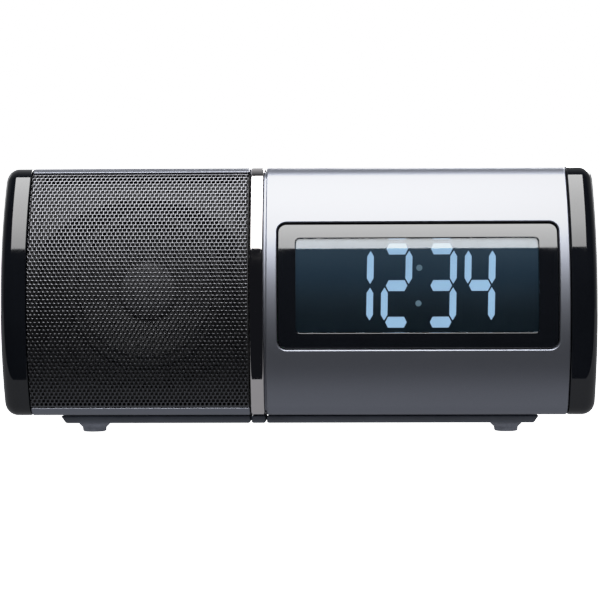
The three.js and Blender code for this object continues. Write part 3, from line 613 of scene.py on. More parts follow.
def tracks(shader):
    vector = shader.node("ShaderNodeMapping", {"Vector": shader.where, "Scale": (1, 1, 2)})
    return shader.node("ShaderNodeTexVoronoi", {"Vector": vector.outputs["Vector"], "Scale": 260},
                       feature="DISTANCE_TO_EDGE").outputs["Distance"]


def lcd_ground_painted_glow():
    """The dark ground of the display, with a painted glow in its emission that is paler towards the
    top, where the studio light falls from above.
    """
    shader = Shader("lcd_ground_painted_glow", (0.003, 0.005, 0.006), 0.35, Emission_Strength=1.0)
    low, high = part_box("lcd_panel")
    height = shader.remap(shader.split(shader.where, "Z"), (low.z, high.z), (0, 1))
    # Painted light: the emission brightens towards the top, standing in for the light from above.
    shader.feed(shader.inputs["Emission Color"], shader.ramp(
        height, (0.0, (0.006, 0.012, 0.016)), (0.2, (0.010, 0.016, 0.021)),
        (0.36, (0.018, 0.028, 0.037)), (0.6, (0.027, 0.048, 0.070)),
        (0.8, (0.046, 0.073, 0.100)), (1.0, (0.060, 0.090, 0.120))))
    shader.rough(shader.noise(4, 3), 0.33, 0.38)
    return shader.material


def lit(name, color):
    """Segments of liquid crystal with the lamp showing through."""
    shader = Shader(name, [c * 0.4 for c in color], 0.4, Emission_Strength=1.0)
    shader.color = color
    shader.shade(shader.noise(6, 2), 0.94, 1, "Emission Color")
    return shader.material


MATERIALS = {
    "gloss_black": gloss_black("gloss_black_abs", 1.5),
    "bezel_black": gloss_black("bezel_gloss", 1.62),
    "satin_silver": lacquer("satin_silver_lacquer", (0.225, 0.236, 0.273), 0.94, 0.45, 0.5),
    "button_silver": lacquer("button_silver_lacquer", (0.36, 0.37, 0.39), 0.93, 0.35, 0.41),
    "grille_metal": surface("grille_black_nickel", (0.103, 0.104, 0.112), 0.28, 1,
                            ((0.5, 2), 0.85, 1.12), ((1.2, 3), 0.24, 0.31)),
    "band_chrome": surface("smoked_chrome", (0.62, 0.59, 0.585), 0.04, 1,
                           ((14, 3), 0.97, 1.03), ((5, 4), 0.02, 0.07)),
    "case_black": moulded("case_black", (0.02, 0.021, 0.024), 0.45),
    "inner_black": moulded("inner_black", (0.013, 0.013, 0.015), 0.6),
    "rail_grey": moulded("rail_grey", (0.028, 0.033, 0.046), 0.45),
    "rubber": rubber("foot_rubber", (0.075, 0.082, 0.105)),
    "surround_rubber": rubber("surround_rubber", (0.014, 0.014, 0.016)),
    "screw_steel": surface("zinc_plated_steel", (0.46, 0.46, 0.47), 0.35, 1,
                           ((3, 4), 0.85, 1.1), ((1.5, 4), 0.28, 0.45)),
    "cone_paper": paper("pressed_paper", (0.022, 0.022, 0.024)),
    "dust_cap": paper("dust_cap_paper", (0.04, 0.04, 0.044)),
    "winding": surface("copper_winding", (0.55, 0.24, 0.1), 0.35, 1, (coils, 0.7, 1.15),
                       bump=(coils, 0.05)),
    "ferrite": surface("sintered_ferrite", (0.045, 0.042, 0.04), 0.6, 0,
                       ((1.0, 5), 0.7, 1.3), ((0.4, 3), 0.5, 0.75), ((0.2, 4), 0.03)),
    "window_tint": surface("smoked_window", (0.5, 0.58, 0.64), 0, 0, ((40, 2), 0.97, 1.03),
                           IOR=1.56, Transmission_Weight=1.0),
    "lcd_glass": lcd_ground_painted_glow(),
    "lcd_lit": lit("lcd_lit", (0.62, 0.84, 1.1)),
    "lcd_colon": lit("lcd_colon", (0.2, 0.28, 0.32)),
    "diffuser": surface("acrylic_diffuser", (0.8, 0.84, 0.86), 0.45, 0,
                        ((6, 3), 0.95, 1.04), ((1, 3), 0.38, 0.55)),
    "board": surface("solder_mask", (0.018, 0.12, 0.045), 0.4, 0, (tracks, 1.6, 0.8),
                     bump=(tracks, 0.03)),
    "tinned": surface("tinned_plate", (0.6, 0.6, 0.57), 0.3, 1,
                      ((5, 5), 0.85, 1.08), ((2.5, 4), 0.22, 0.4)),
    "cell_wrap": surface("cell_sleeve", (0.07, 0.09, 0.11), 0.3, 0.4,
                         ((8, 3), 0.85, 1.15), ((2, 3), 0.25, 0.4)),
}
# The record's slot for each material that isn't named after its own.
SLOTS = {"bezel_black": "gloss_black", "surround_rubber": "rubber", "dust_cap": "cone_paper",
         "lcd_colon": "lcd_lit"}
SLOT_OF_NODE = {part["node"]: part["material_slot"] for part in frame["record"]["subparts"]}


def dress_frame():
    """Gives every CAD node the fine material of its slot."""
    for name, slot_name in SLOT_OF_NODE.items():
        node = frame["nodes"][name]
        if not node.material_slots:
            node.data.materials.append(MATERIALS[slot_name])
        for slot in node.material_slots:
            slot.material = MATERIALS[slot_name]


# ---- casing pieces
def build_cap(side, name):
    """A cup with a softened rim at the casing, a rounded outer edge and a domed face."""
    skin = Skin()
    seam, face = RIGHT_SEAM, HALF_WIDTH - CAP_BULGE
    across = Vector((side, 0, 0))
    middle = Vector((0, 0, FRONT_HEIGHT))

    def row(x, inset, out=1, aside=0):
        """A row round the outline, whose normal leans out of it and to the cap's face."""
        return skin.row([wall_point(side * x, s, inset) for s in STATIONS],
                        [wall_normal(s) * out + across * aside for s in STATIONS])

    def flat(ring):
        return [(i, -across) for i, _ in ring]

    def domed(scale, depth=0.0, facing=1):
        """A row of the face, shrunk towards its middle."""
        points, normals = [], []
        for s in STATIONS:
            spoke = Vector(wall_point(0, s, CAP_EDGE)) - middle
            x = HALF_WIDTH - depth - CAP_BULGE * scale * scale
            points.append(across * x + middle + spoke * scale)
            tilt = 2 * CAP_BULGE * scale / spoke.length
            mixed = spoke.normalized().lerp(wall_normal(s), scale ** 2)
            normals.append((across + mixed * tilt) * facing)
        return skin.row(points, normals)

    def close(ring, x, facing):
        """A fan from a small ring to the cap's axis."""
        pole = (skin.add(across * x + middle), facing)
        for i in range(len(ring)):
            skin.face([ring[i], ring[(i + 1) % len(ring)], pole])

    rim = 0.6
    dome_lean = degrees(atan(2 * CAP_BULGE / 44.0))
    rows = [row(seam + rim * (1 + aside), rim * (1 - out), out, aside)
            for out, aside in directions(-90, 90, 3)]
    rows += [row(face - CAP_EDGE * (1 - aside), CAP_EDGE * (1 - out), out, aside)
             for out, aside in directions(0, 90 - dome_lean, 10)]
    rows += [domed(float(scale)) for scale in np.linspace(1, 0.02, 14)]
    skin.strips(rows)
    close(rows[-1], HALF_WIDTH, across)

    # The inside: rim, lip and a plain hollow.
    lip_foot, lip_inset, hollow_inset = seam - 3.0, WALL + 0.4, 4.4
    skin.strips([flat(rows[0]), flat(row(seam, lip_inset))])
    skin.strips([row(seam, lip_inset), row(lip_foot, lip_inset)])
    skin.strips([flat(row(lip_foot, lip_inset)), flat(row(lip_foot, hollow_inset))])
    hollow = [row(x, hollow_inset, -1) for x in (lip_foot, face - CAP_EDGE - CAP_WALL)]
    skin.strips(hollow)
    dome = [domed(scale, CAP_WALL, -1) for scale in (0.98, 0.5, 0.02)]
    for lower, upper in zip([hollow[1], *dome], dome):
        skin.strips([flat(lower), upper])
    close(flat(dome[-1]), HALF_WIDTH - CAP_WALL, -across)
    skin.make(f"{name}_skin", "gloss_black", name)


def build_grille_frame():
    """Strips above and below the grille, with hidden ribs between them at its two sides."""
    edge, top_gap, rib_width, lap = 0.35, 0.6, 4, 1
    left, right = LEFT_SEAM + GAP, BAND_LEFT - GAP
    top_low = length_at(GRILLE_TOP_ANGLE - degrees(top_gap / FRONT_TOP_CORNER))
    foot_gap = degrees(GAP / FRONT_BOTTOM_CORNER)
    foot_high = length_at(GRILLE_BOTTOM_ANGLE - 360 + foot_gap) - ROUND
    foot_low = under_length(FRONT_SPLIT_UNDER_Y) - ROUND
    skin = Skin()
    plate(skin, Loop(left, right, top_low, top_length(FRONT_SPLIT_TOP_Y)), [], 0, WALL, edge)
    plate(skin, Loop(left, right, foot_low, foot_high), [], 0, WALL, edge)
    for x0, x1 in ((left, left + rib_width), (right - rib_width, right)):
        plate(skin, Loop(x0, x1, foot_high - lap, top_low + lap), [], 1.4, 1.0, 0.2, slot=1)
    piece = skin.make("grille_frame_skin", "satin_silver", "grille_frame")
    piece.data.materials.append(MATERIALS["inner_black"])


GRILLE_COLUMNS = 50
GRILLE_MARGIN = 0.1
GRILLE_PITCH = (GRILLE_RIGHT - LEFT_SEAM - GAP - 2 * GRILLE_MARGIN) / GRILLE_COLUMNS
GRILLE_ROW = GRILLE_PITCH * sqrt(3) / 2
GRILLE_HOLE = 0.6
GRILLE_SHEET = 0.7
GRILLE_DISH = 0.12
GRILLE_FOLD = 0.45


def build_grille():
    """The perforated sheet: staggered round holes with drawn-in rims, cut right through."""
    x0, x1 = LEFT_SEAM + GAP, GRILLE_RIGHT
    s0 = length_at(GRILLE_BOTTOM_ANGLE - 360) - ROUND
    s1 = length_at(GRILLE_TOP_ANGLE)
    rows = int((s1 - s0 - 2 * GRILLE_MARGIN) / GRILLE_ROW)
    count = 2 * GRILLE_COLUMNS
    half = GRILLE_PITCH / 2
    start_x = (x0 + x1) / 2 - GRILLE_COLUMNS * half
    start_s = (s0 + s1) / 2 - rows * GRILLE_ROW / 2
    skin = Skin()
    lattice, notches = {}, {}

    def ends(number, last):
        """Which end of the sheet a lattice number is on: -1, 1, or 0 between them."""
        return -1 if number == 0 else 1 if number == last else 0

    def corner(i, j, back):
        """A lattice corner, i half pitches across and j rows up."""
        if (i, j, back) not in lattice:
            s = start_s + j * GRILLE_ROW
            facing = wall_normal(s) * (-1 if back else 1) + Vector((ends(i, count), 0, 0))
            point = wall_point(start_x + i * half, s, GRILLE_SHEET if back else 0)
            lattice[i, j, back] = (skin.add(point), facing)
        return lattice[i, j, back]

    def cell(i, j, spokes, border_at, order, way=0):
        """A hole round lattice place i of row j, and the sheet between it and its border.

        order takes the corners between hole and border in turn: h for hole, b for border.
        """
        s = start_s + (j + 0.5) * GRILLE_ROW
        out = wall_normal(s)
        inwards = [-wall_way(s, dx, ds) for dx, ds in spokes]
        walls = []
        for back in (False, True):
            inset = GRILLE_SHEET if back else GRILLE_DISH
            ids = [skin.add(wall_point(start_x + i * half + GRILLE_HOLE * dx,
                                       s + GRILLE_HOLE * ds, inset)) for dx, ds in spokes]
            rim = [(n, -out if back else out * 1.6 + inward) for n, inward in zip(ids, inwards)]
            border = [corner(i + di, j + dj, back) for di, dj in border_at]
            walls.append(list(zip(ids, inwards)))
            if way:
                # A half hole is closed by the margin's straight rim.
                walls[-1] += [(ids[-1], Vector((way, 0, 0))), (ids[0], Vector((way, 0, 0)))]
                notches[i, j, back] = (rim[0], rim[-1])
            else:
                rim, border = [rim[-1], *rim], [border[-1], *border]
            rings = {"b": iter(border), "h": iter(rim)}
            last = {ring: next(corners) for ring, corners in rings.items()}
            for ring in order:
                new = next(rings[ring])
                skin.face([last["b"], new, last["h"]])
                last[ring] = new
        skin.strips(walls)

    around = [(1, 1), (0, 1), (-1, 1), (-1, 0), (0, 0), (1, 0)]
    circle = directions(15, 330, 11)
    for j in range(rows):
        shift = j % 2
        for c in range(GRILLE_COLUMNS - shift):
            cell(2 * c + shift + 1, j, circle, around, "hb" + 5 * "hhb" + "h")
        if shift:
            for end, way in ((0, 1), (count, -1)):
                spokes = [(way * dx, ds) for dx, ds in directions(-90, 180, 6)]
                cell(end, j, spokes, [(0, 0), (way, 0), (way, 1), (0, 1)], "bhhhbhhhb", way)

    # The plain margin round the perforations, and the sheet's cut edge.
    border = [(i, 0) for i in range(count)] + [(count, j) for j in range(rows)]
    border += [(i, rows) for i in range(count, 0, -1)] + [(0, j) for j in range(rows, 0, -1)]
    rings, edges = ([], []), ([], [])
    for i, j in border:
        x = {-1: x0, 0: start_x + i * half, 1: x1}[ends(i, count)]
        s = {-1: s0, 0: start_s + j * GRILLE_ROW, 1: s1}[ends(j, rows)]
        for back in (False, True):
            point = skin.add(wall_point(x, s, GRILLE_SHEET if back else GRILLE_FOLD))
            rings[back].append((point, wall_normal(s) * (-1 if back else 1)))
            edges[back].append((point, wall_way(s, ends(i, count), ends(j, rows))))
    for k, (i, j) in enumerate(border):
        n = (k + 1) % len(border)
        next_i, next_j = border[n]
        for back in (False, True):
            notch = notches.get((i, min(j, next_j), back), ()) if i == next_i else ()
            skin.face([corner(i, j, back), *(notch if next_j > j else notch[::-1]),
                       corner(next_i, next_j, back), rings[back][n], rings[back][k]])
    skin.strips(edges)
    skin.make("speaker_grille_sheet", "grille_metal", "speaker_grille")


def build_band():
    """A closed ring round the whole outline, rounded at its two outer edges."""
    left = [(BAND_LEFT + BAND_EDGE * (1 - aside), BAND_EDGE * (1 - out), -aside, out)
            for out, aside in directions(90, -90, 4)]
    right = [(BAND_LEFT + BAND_RIGHT - x, inset, -nx, out) for x, inset, nx, out in reversed(left)]
    back = [(BAND_RIGHT, BAND_THICK, 0, -1), (BAND_LEFT, BAND_THICK, 0, -1)]
    skin = Skin()
    ring = left + right + back
    rows = [skin.row([wall_point(x, s, inset) for x, inset, _, _ in ring],
                     [Vector((nx, 0, 0)) + wall_normal(s) * out for _, _, nx, out in ring])
            for s in STATIONS]
    skin.strips([*rows, rows[0]])
    skin.make("center_band_skin", "band_chrome", "center_band")


def build_front_panel():
    opening = face_loop("display_bezel", GAP, 3.3)
    foot = under_length(FRONT_SPLIT_UNDER_Y) - ROUND
    head = top_length(FRONT_SPLIT_TOP_Y)
    skin = Skin()
    plate(skin, Loop(PANEL_LEFT, RIGHT_SEAM - GAP, foot, head), [opening], 0, WALL, 0.5)
    plate(skin, Loop(BAND_LEFT + GAP, PANEL_LEFT + 0.6, foot, head), [], SUNK_INSET, SUNK_THICK, 0.1)
    skin.make("front_panel_skin", "satin_silver", "front_panel")


BUTTON_ROW_Y = 24.0
BUTTON_SIZE = (12.0, 7.0)
KEY_PROUD = 1.2
SNOOZE_PLACE = (40.0, 6.0)
SNOOZE_SIZE = (70.0, 12.0)
DOOR = {"x0": -83.0, "x1": -25.0, "z0": 15.0, "z1": 41.5, "thick": 2.0}
JACK = {"x": 66.0, "z": 24.0, "half_width": 4.5, "half_height": 5.5, "bore": 3.15}
AERIAL = {"x": 82.0, "z": 30.0, "neck": 2.7}
VENTS = {"first": 8.0, "pitch": 8.0, "count": 7, "width": 2.5, "middle": 58.0, "half_height": 10.0}
SCREW_PLACES = [(-76, -8), (76, -8), (-76, 8), (76, 8)]
SCREW_BORE = 3.1


def top_loop(x, y, length, width):
    """A hole for a key in the top."""
    return Loop(x - length / 2 - GAP, x + length / 2 + GAP, top_length(y - width / 2 - GAP),
                top_length(y + width / 2 + GAP), 1.8)


def rear_loop(x, z, half_width, half_height, corner):
    return Loop(x - half_width, x + half_width, rear_length(z + half_height),
                rear_length(z - half_height), corner)


def build_shell(name, s0, s1, holes):
    """A shell in two stretches, with a sunken one between them that lies under the band."""
    skin = Skin()
    for x0, x1 in ((LEFT_SEAM + GAP, BAND_LEFT - GAP), (BAND_RIGHT + GAP, RIGHT_SEAM - GAP)):
        inside = [hole for hole in holes if x0 < hole.x0 < x1]
        plate(skin, Loop(x0, x1, s0, s1), inside, 0, WALL)
    lap = 0.8
    plate(skin, Loop(BAND_LEFT - lap, BAND_RIGHT + lap, s0, s1), [], SUNK_INSET, SUNK_THICK, 0.05)
    skin.make(f"{name}_skin", "case_black", name)


def build_shells():
    """The rear shell, with its button holes, vents, door and sockets, and the bottom shell."""
    holes = [top_loop(middle_of(node, 0), BUTTON_ROW_Y, *BUTTON_SIZE) for node in SIGNS]
    holes.append(top_loop(*SNOOZE_PLACE, *SNOOZE_SIZE))
    holes.append(Loop(DOOR["x0"], DOOR["x1"], rear_length(DOOR["z1"]), rear_length(DOOR["z0"]),
                      0.8))
    holes.append(rear_loop(JACK["x"], JACK["z"], JACK["half_width"] + GAP,
                           JACK["half_height"] + GAP, 0.5))
    neck = AERIAL["neck"] + GAP
    holes.append(rear_loop(AERIAL["x"], AERIAL["z"], neck, neck, neck))
    for i in range(VENTS["count"]):
        half = VENTS["width"] / 2
        holes.append(rear_loop(VENTS["first"] + i * VENTS["pitch"], VENTS["middle"], half,
                               VENTS["half_height"], half))
    build_shell("rear_shell", top_length(FRONT_SPLIT_TOP_Y + GAP),
                under_length(REAR_SPLIT_UNDER_Y + GAP), holes)
    bores = [Loop(x - SCREW_BORE, x + SCREW_BORE, under_length(y + SCREW_BORE),
                  under_length(y - SCREW_BORE), SCREW_BORE) for x, y in SCREW_PLACES]
    build_shell("bottom_shell", under_length(REAR_SPLIT_UNDER_Y),
                under_length(FRONT_SPLIT_UNDER_Y + GAP), bores)


# ---- controls
# Each button's sign, as bars [x0, x1, y0, y1] round its middle.
SIGNS = {
    "volume_down_button": [(-1.6, 1.6, -0.28, 0.28)],
    "volume_up_button": [(-1.6, 1.6, -0.28, 0.28), (-0.28, 0.28, -1.6, 1.6)],
    "tune_down_button": [(-1.4, -0.8, -1.3, 1.3), (0.0, 1.4, -0.28, 0.28)],
    "tune_up_button": [(0.8, 1.4, -1.3, 1.3), (-1.4, 0.0, -0.28, 0.28)],
    "alarm_one_button": [(-0.35, 0.35, -1.4, 1.4)],
    "alarm_two_button": [(-1.1, -0.4, -1.4, 1.4), (0.4, 1.1, -1.4, 1.4)],
    "clock_set_button": [(-1.5, 1.5, -1.5, -0.95), (-1.5, 1.5, 0.95, 1.5)],
    "power_button": [(-0.3, 0.3, -0.2, 1.9)],
}


def top_slope(y):
    return Vector((0, (y - top.y) / top.r, 1))


def key(name, node, body, x, y, length, width, dish):
    """A moulded key: straight sides, rounded shoulder and a gently hollowed crown."""
    def height_at(px, py):
        across, along = (px - x) / (length / 2), (py - y) / (width / 2)
        hollow = max(0.0, 1 - across * across) * max(0.0, 1 - along * along)
        return top.z + sqrt(top.r ** 2 - (py - top.y) ** 2) + KEY_PROUD - dish * hollow

    # Levels are [shrink, drop, lean aside, lean up], from the foot to the crown.
    corner, shoulder, foot_drop = 1.5, 0.6, 4.5
    levels = [(0, foot_drop, 1, 0), (0, shoulder, 1, 0)]
    levels += [(shoulder * (1 - aside), shoulder * (1 - up), aside, up)
               for aside, up in directions(0, 90, 5)[1:]]
    levels += [(shoulder + width / 2 * f, 0, 0, 1) for f in (0.12, 0.3, 0.5, 0.7, 0.8)]
    skin = Skin()
    rows = []
    for shrink, drop, aside, up in levels:
        c = max(corner - shrink, 0.05)
        reach_x, reach_y = length / 2 - shrink - c, width / 2 - shrink - c
        points, normals = [], []
        for side_x, side_y, start in ((1, 1, 0), (-1, 1, 90), (-1, -1, 180), (1, -1, 270)):
            for nx, ny in directions(start, 90, 6):
                px, py = x + side_x * reach_x + c * nx, y + side_y * reach_y + c * ny
                points.append((px, py, height_at(px, py) - drop))
                normals.append(top_slope(py).normalized() * up + Vector((nx, ny, 0)) * aside)
        rows.append(skin.row(points, normals))
    skin.strips(rows)
    for row, way in ((rows[-1], top_slope(y)), (rows[0], -top_slope(y))):
        row = [(i, way) for i, _ in row]
        for i in range(len(row) // 2 - 1):
            skin.face([row[i], row[i + 1], row[-2 - i], row[-1 - i]])
    skin.make(name, "button_silver", node, body=body)
    return height_at(x, y)


def build_controls():
    key("snooze_bar_key", "snooze_bar", "snooze", *SNOOZE_PLACE, *SNOOZE_SIZE, 0.35)
    for node, signs in SIGNS.items():
        body = node.replace("_button", "")
        x, y = middle_of(node, 0), BUTTON_ROW_Y
        crown = key(f"{body}_key", node, body, x, y, *BUTTON_SIZE, 0.3)
        bars = [((x + x0, y + y0, crown - 0.2), (x + x1, y + y1, crown + 0.12))
                for x0, x1, y0, y1 in signs]
        boxed(f"{body}_sign", bars, "inner_black", body, 0.05)


# ---- base
def refined(node, edge):
    """A fine copy of a CAD node: flat faces joined up and sharp edges rounded."""
    work = bmesh.new()
    work.from_mesh(frame["nodes"][node].data)
    bmesh.ops.remove_doubles(work, verts=work.verts, dist=1e-6)
    bmesh.ops.dissolve_limit(work, angle_limit=radians(1), verts=work.verts,
                             edges=work.edges)
    mesh = bpy.data.meshes.new(f"{node}_fine")
    work.to_mesh(mesh)
    work.free()
    softened(place(f"{node}_fine", mesh, SLOT_OF_NODE[node], node), edge, 3)


# Profiles are [radius, distance along the axis].
FOOT_PROFILE = [[0, 0.35], [2.6, 0.35], [2.9, 0.0], [3.7, 0.0], [4.15, 0.35], [4.3, 1.6],
                [4.6, 1.8], [5.4, 2.6], [5.6, 3.0]]
SCREW_HEAD = [[0, 0], [1.2, 0.03], [2.0, 0.18], [2.55, 0.5], [2.8, 1.0], [2.8, 1.65], [1.25, 1.65]]


def build_base():
    for side in ("left", "middle", "right", "rear"):
        refined(f"base_rail_{side}", 0.7)
    for corner in ("front_left", "front_right", "rear_left", "rear_right"):
        node = f"foot_{corner}"
        seat = span(node)[1][2]
        turned(f"{node}_pad", [*FOOT_PROFILE, [5.6, seat], [0, seat]], "z",
               (middle_of(node, 0), middle_of(node, 1), 0), "rubber", node, edge=0.1)
    for k, (x, y) in enumerate(SCREW_PLACES):
        build_screw(f"case_screw_{k + 1}", x, y)


def build_screw(node, x, y):
    """A pan-head screw with a cross recess."""
    foot, tip = (corner[2] for corner in span(node))
    head = [[r, foot + up] for r, up in SCREW_HEAD]
    screw = turned(f"{node}_fine", [*head, [1.25, tip - 0.6], [0, tip]], "z", (x, y, 0),
                   "screw_steel", node, sides=40, edge=0)
    for wide, deep in ((1.5, 0.3), (0.3, 1.5)):
        cutter = boxed("cross_cutter", [((x - wide, y - deep, foot - 0.5),
                                         (x + wide, y + deep, foot + 0.9))],
                       "screw_steel", edge=0.02)
        carve = screw.modifiers.new("cross", "BOOLEAN")
        carve.object = cutter
        carve.operation = "DIFFERENCE"
        bake(screw)
        bpy.data.objects.remove(cutter)
    sharpen(screw.data)


# ---- rear fittings
def build_rear():
    x0, x1 = DOOR["x0"] + GAP, DOOR["x1"] - GAP
    top_s, low_s = rear_length(DOOR["z1"] - GAP), rear_length(DOOR["z0"] + GAP)
    middle = (x0 + x1) / 2
    skin = Skin()
    plate(skin, Loop(x0, x1, top_s, low_s, 0.6), [], 0, DOOR["thick"])
    for k in range(5):
        s = top_s + 3.2 + 1.6 * k
        plate(skin, Loop(middle - 8, middle + 8, s, s + 0.8, 0.4), [], -0.35, 0.6, 0.25, step=4)
    skin.make("battery_door_skin", "case_black", "battery_door", body="battery_cover")
    for node, edge in (("battery_tray", 0.3), ("aerial_bush", 0.2), ("dc_jack", 0.25)):
        refined(node, edge)
    mouth, bore = span("dc_jack")[1][1], JACK["bore"]
    turned("dc_jack_sleeve", [[bore - 0.35, mouth - 7.5], [bore - 0.05, mouth - 7.5],
                              [bore - 0.05, mouth - 0.5], [bore - 0.35, mouth - 0.8]],
           "y", (JACK["x"], 0, JACK["z"]), "tinned", edge=0.05)
    build_cell("battery_cell_lower", 1)
    build_cell("battery_cell_upper", -1)
    for node in ("battery_contact_left", "battery_contact_right", "tuner_can"):
        refined(node, 0.15)


def build_cell(node, way):
    """A dry cell: sleeve, crimped rim and the button at its positive end."""
    low, high = span(node)
    radius = (high[2] - low[2]) / 2
    start, end = (low[0], high[0])[::way]
    profile = [[0, start], [radius - 1.1, start]]
    profile += [[radius - inset, start + along * way]
                for inset, along in ((0.9, 0.3), (0.3, 0.3), (0, 0.7))]
    profile += [[radius - inset, end - along * way]
                for inset, along in ((0, 1.5), (0.35, 1.05), (0.9, 1.05), (1.1, 1.3))]
    profile += [[2.1, end - 1.3 * way], [1.9, end - 0.2 * way], [1.6, end], [0, end]]
    turned(f"{node}_fine", profile, "x", (0, middle_of(node, 1), middle_of(node, 2)), "cell_wrap",
           node, sides=48, edge=0.08)


# ---- loudspeaker
def build_speaker():
    centre = (middle_of("speaker_cone", 0), 0, middle_of("speaker_cone", 2))

    def piece(name, profile, material, node, body="housing"):
        turned(name, profile, "y", centre, material, node, body=body, sides=128, edge=0)

    ring_y, flange_y, roll_r, roll_height = -28.9, -28.4, 26.1, 1.7
    roll = [[roll_r + roll_height * across, ring_y - roll_height * up]
            for across, up in directions(0, 180, 14)]
    inner = [[roll_r + (r - roll_r) * 0.72, y + 0.45] for r, y in reversed(roll)]
    piece("speaker_surround_roll", [[28.2, flange_y], [28.2, ring_y], *roll, [24, ring_y],
                                    [24, flange_y], *inner], "surround_rubber", "speaker_surround")
    # The cone bellies a little and carries shallow pressed rings.
    ribs = []
    for i in range(29):
        t = i / 28
        sag = 0.55 * sin(pi * t) + 0.09 * sin(14 * pi * t)
        ribs.append([7.9 + 15.7 * t, -19 - 9.8 * t + sag])
    back = [[r, y + 0.65] for r, y in reversed(ribs)]
    piece("speaker_cone_paper", ribs + back, "cone_paper", "speaker_cone", "cone")
    dome = [[10.2 * r, -21 - 3.4 * up] for up, r in directions(0, 90, 12)]
    shell = [[r * 0.95, y + 0.45] for r, y in reversed(dome)]
    piece("dust_cap_dome", dome + shell, "dust_cap", "dust_cap", "cone")
    piece("speaker_gasket_ring", [[28.6, -29.2], [28.9, -29.4], [31.1, -29.4], [31.4, -29.2],
                                  [31.4, -28.4], [28.6, -28.4]], "surround_rubber",
          "speaker_gasket")


# ---- display
def face_loop(node, grow, corner):
    """The outline of a node on the face, moved out by grow."""
    low, high = span(node)
    return Loop(low[0] - grow, high[0] + grow, front_length(low[2] - grow),
                front_length(high[2] + grow), corner)


def build_display():
    skin = Skin()
    opening = face_loop("display_window", 0.06, 1.4)
    plate(skin, face_loop("display_bezel", 0, 3.0), [opening], 1.0, WALL)
    skin.make("display_bezel_skin", "bezel_black", "display_bezel")
    skin = Skin()
    plate(skin, face_loop("display_window", 0, 1.35), [], 1.12, 1.7, 0.12)
    skin.make("display_window_skin", "window_tint", "display_window")
    build_digits()


DIGIT_MIDDLE = 51.75
STROKE_UPRIGHT = 2.3
STROKE_FLAT = 3.75
NODE_WIDTH = 8.35
NODE_HEIGHT = 12.65
TIP_GAP = 0.45
UPRIGHT_TIP_GAP = 0.65
TIP_CUT = 0.95
UPRIGHT_TIP_CUT = 1.9
SLANT = tan(radians(1.2))
DIGIT_RIGHTS = [26.2, 39.6, 55.1, 68.5]
DIGIT_SEGMENTS = ["bc", "abged", "abgcd", "fgbc"]
COLON_DOTS = [(42.2, 57.9), (41.85, 45.6)]
COLON_RADIUS = 1.05


def segment_outline(letter):
    """One segment's outline round the digit's middle, with pointed ends."""
    w, h = NODE_WIDTH / 2, NODE_HEIGHT
    flat = {"a": h, "g": 0, "d": -h}
    if letter in flat:
        z, half, end, cut = flat[letter], STROKE_FLAT / 2, w - TIP_GAP, TIP_CUT
        return [(-end, z), (-end + cut, z - half), (end - cut, z - half), (end, z),
                (end - cut, z + half), (-end + cut, z + half)]
    x = w if letter in "bc" else -w
    z0, z1 = (0, h) if letter in "bf" else (-h, 0)
    low, high = z0 + UPRIGHT_TIP_GAP, z1 - UPRIGHT_TIP_GAP
    half, cut = STROKE_UPRIGHT / 2, UPRIGHT_TIP_CUT
    return [(x, low), (x + half, low + cut), (x + half, high - cut), (x, high),
            (x - half, high - cut), (x - half, low + cut)]


def prisms(name, shapes, material, *replaced):
    """Raised flat shapes in the display's plane. Shapes are [middle x, middle z, outline]."""
    film_low, film_high = span("lcd_segment_layer")
    points, faces = [], []
    for x, z, outline in shapes:
        first, count = len(points), len(outline)
        points += [((x + dx) * MM, y * MM, (z + dz) * MM)
                   for y in (film_low[1], film_high[1]) for dx, dz in outline]
        faces.append([first + i for i in range(count)])
        faces.append([first + count + i for i in reversed(range(count))])
        for i in range(count):
            j = (i + 1) % count
            faces.append([first + j, first + i, first + count + i, first + count + j])
    mesh = bpy.data.meshes.new(name)
    mesh.from_pydata(points, [], faces)
    place(name, mesh, material, *replaced)


def build_digits():
    shapes = []
    for right, letters in zip(DIGIT_RIGHTS, DIGIT_SEGMENTS):
        centre = right - STROKE_UPRIGHT / 2 - NODE_WIDTH / 2
        for letter in letters:
            outline = [(dx + SLANT * dz, dz) for dx, dz in segment_outline(letter)]
            shapes.append((centre, DIGIT_MIDDLE, outline))
    prisms("display_digits", shapes, "lcd_lit", "lcd_segment_layer")
    circle = [(COLON_RADIUS * dx, COLON_RADIUS * dz) for dx, dz in directions(0, 345, 23)]
    prisms("display_colon", [(x, z, circle) for x, z in COLON_DOTS], "lcd_colon")


# ---- studio
BACKDROP = 2.2
TABLE_FRONT_Y = cad_low.y - 0.021


def emitter(name, size_x, size_y, location, power):
    """A rectangular light that faces the radio, unseen by the camera."""
    light = bpy.data.lights.new(name, "AREA")
    light.shape = "RECTANGLE"
    light.size = size_x
    light.size_y = size_y
    light.energy = power
    lamp = link(name, light)
    lamp.location = location
    aim = Vector((0, 0, 0.05)) - Vector(location)
    lamp.rotation_euler = aim.to_track_quat("-Z", "Y").to_euler()
    lamp.visible_camera = False


def sheet(name, corners, material, unseen_by):
    """A flat stage sheet that some kinds of ray pass by."""
    mesh = bpy.data.meshes.new(name)
    mesh.from_pydata(corners, [], [(0, 1, 2, 3)])
    uv = mesh.uv_layers.new(name="across")
    for loop, corner in zip(uv.data, ((0, 0), (1, 0), (1, 1), (0, 1))):
        loop.uv = corner
    mesh.materials.append(material)
    made = link(name, mesh)
    for ray in unseen_by:
        setattr(made, f"visible_{ray}", False)


def flat_corners(x, y0, y1, z):
    return [(-x, y0, z), (x, y0, z), (x, y1, z), (-x, y1, z)]


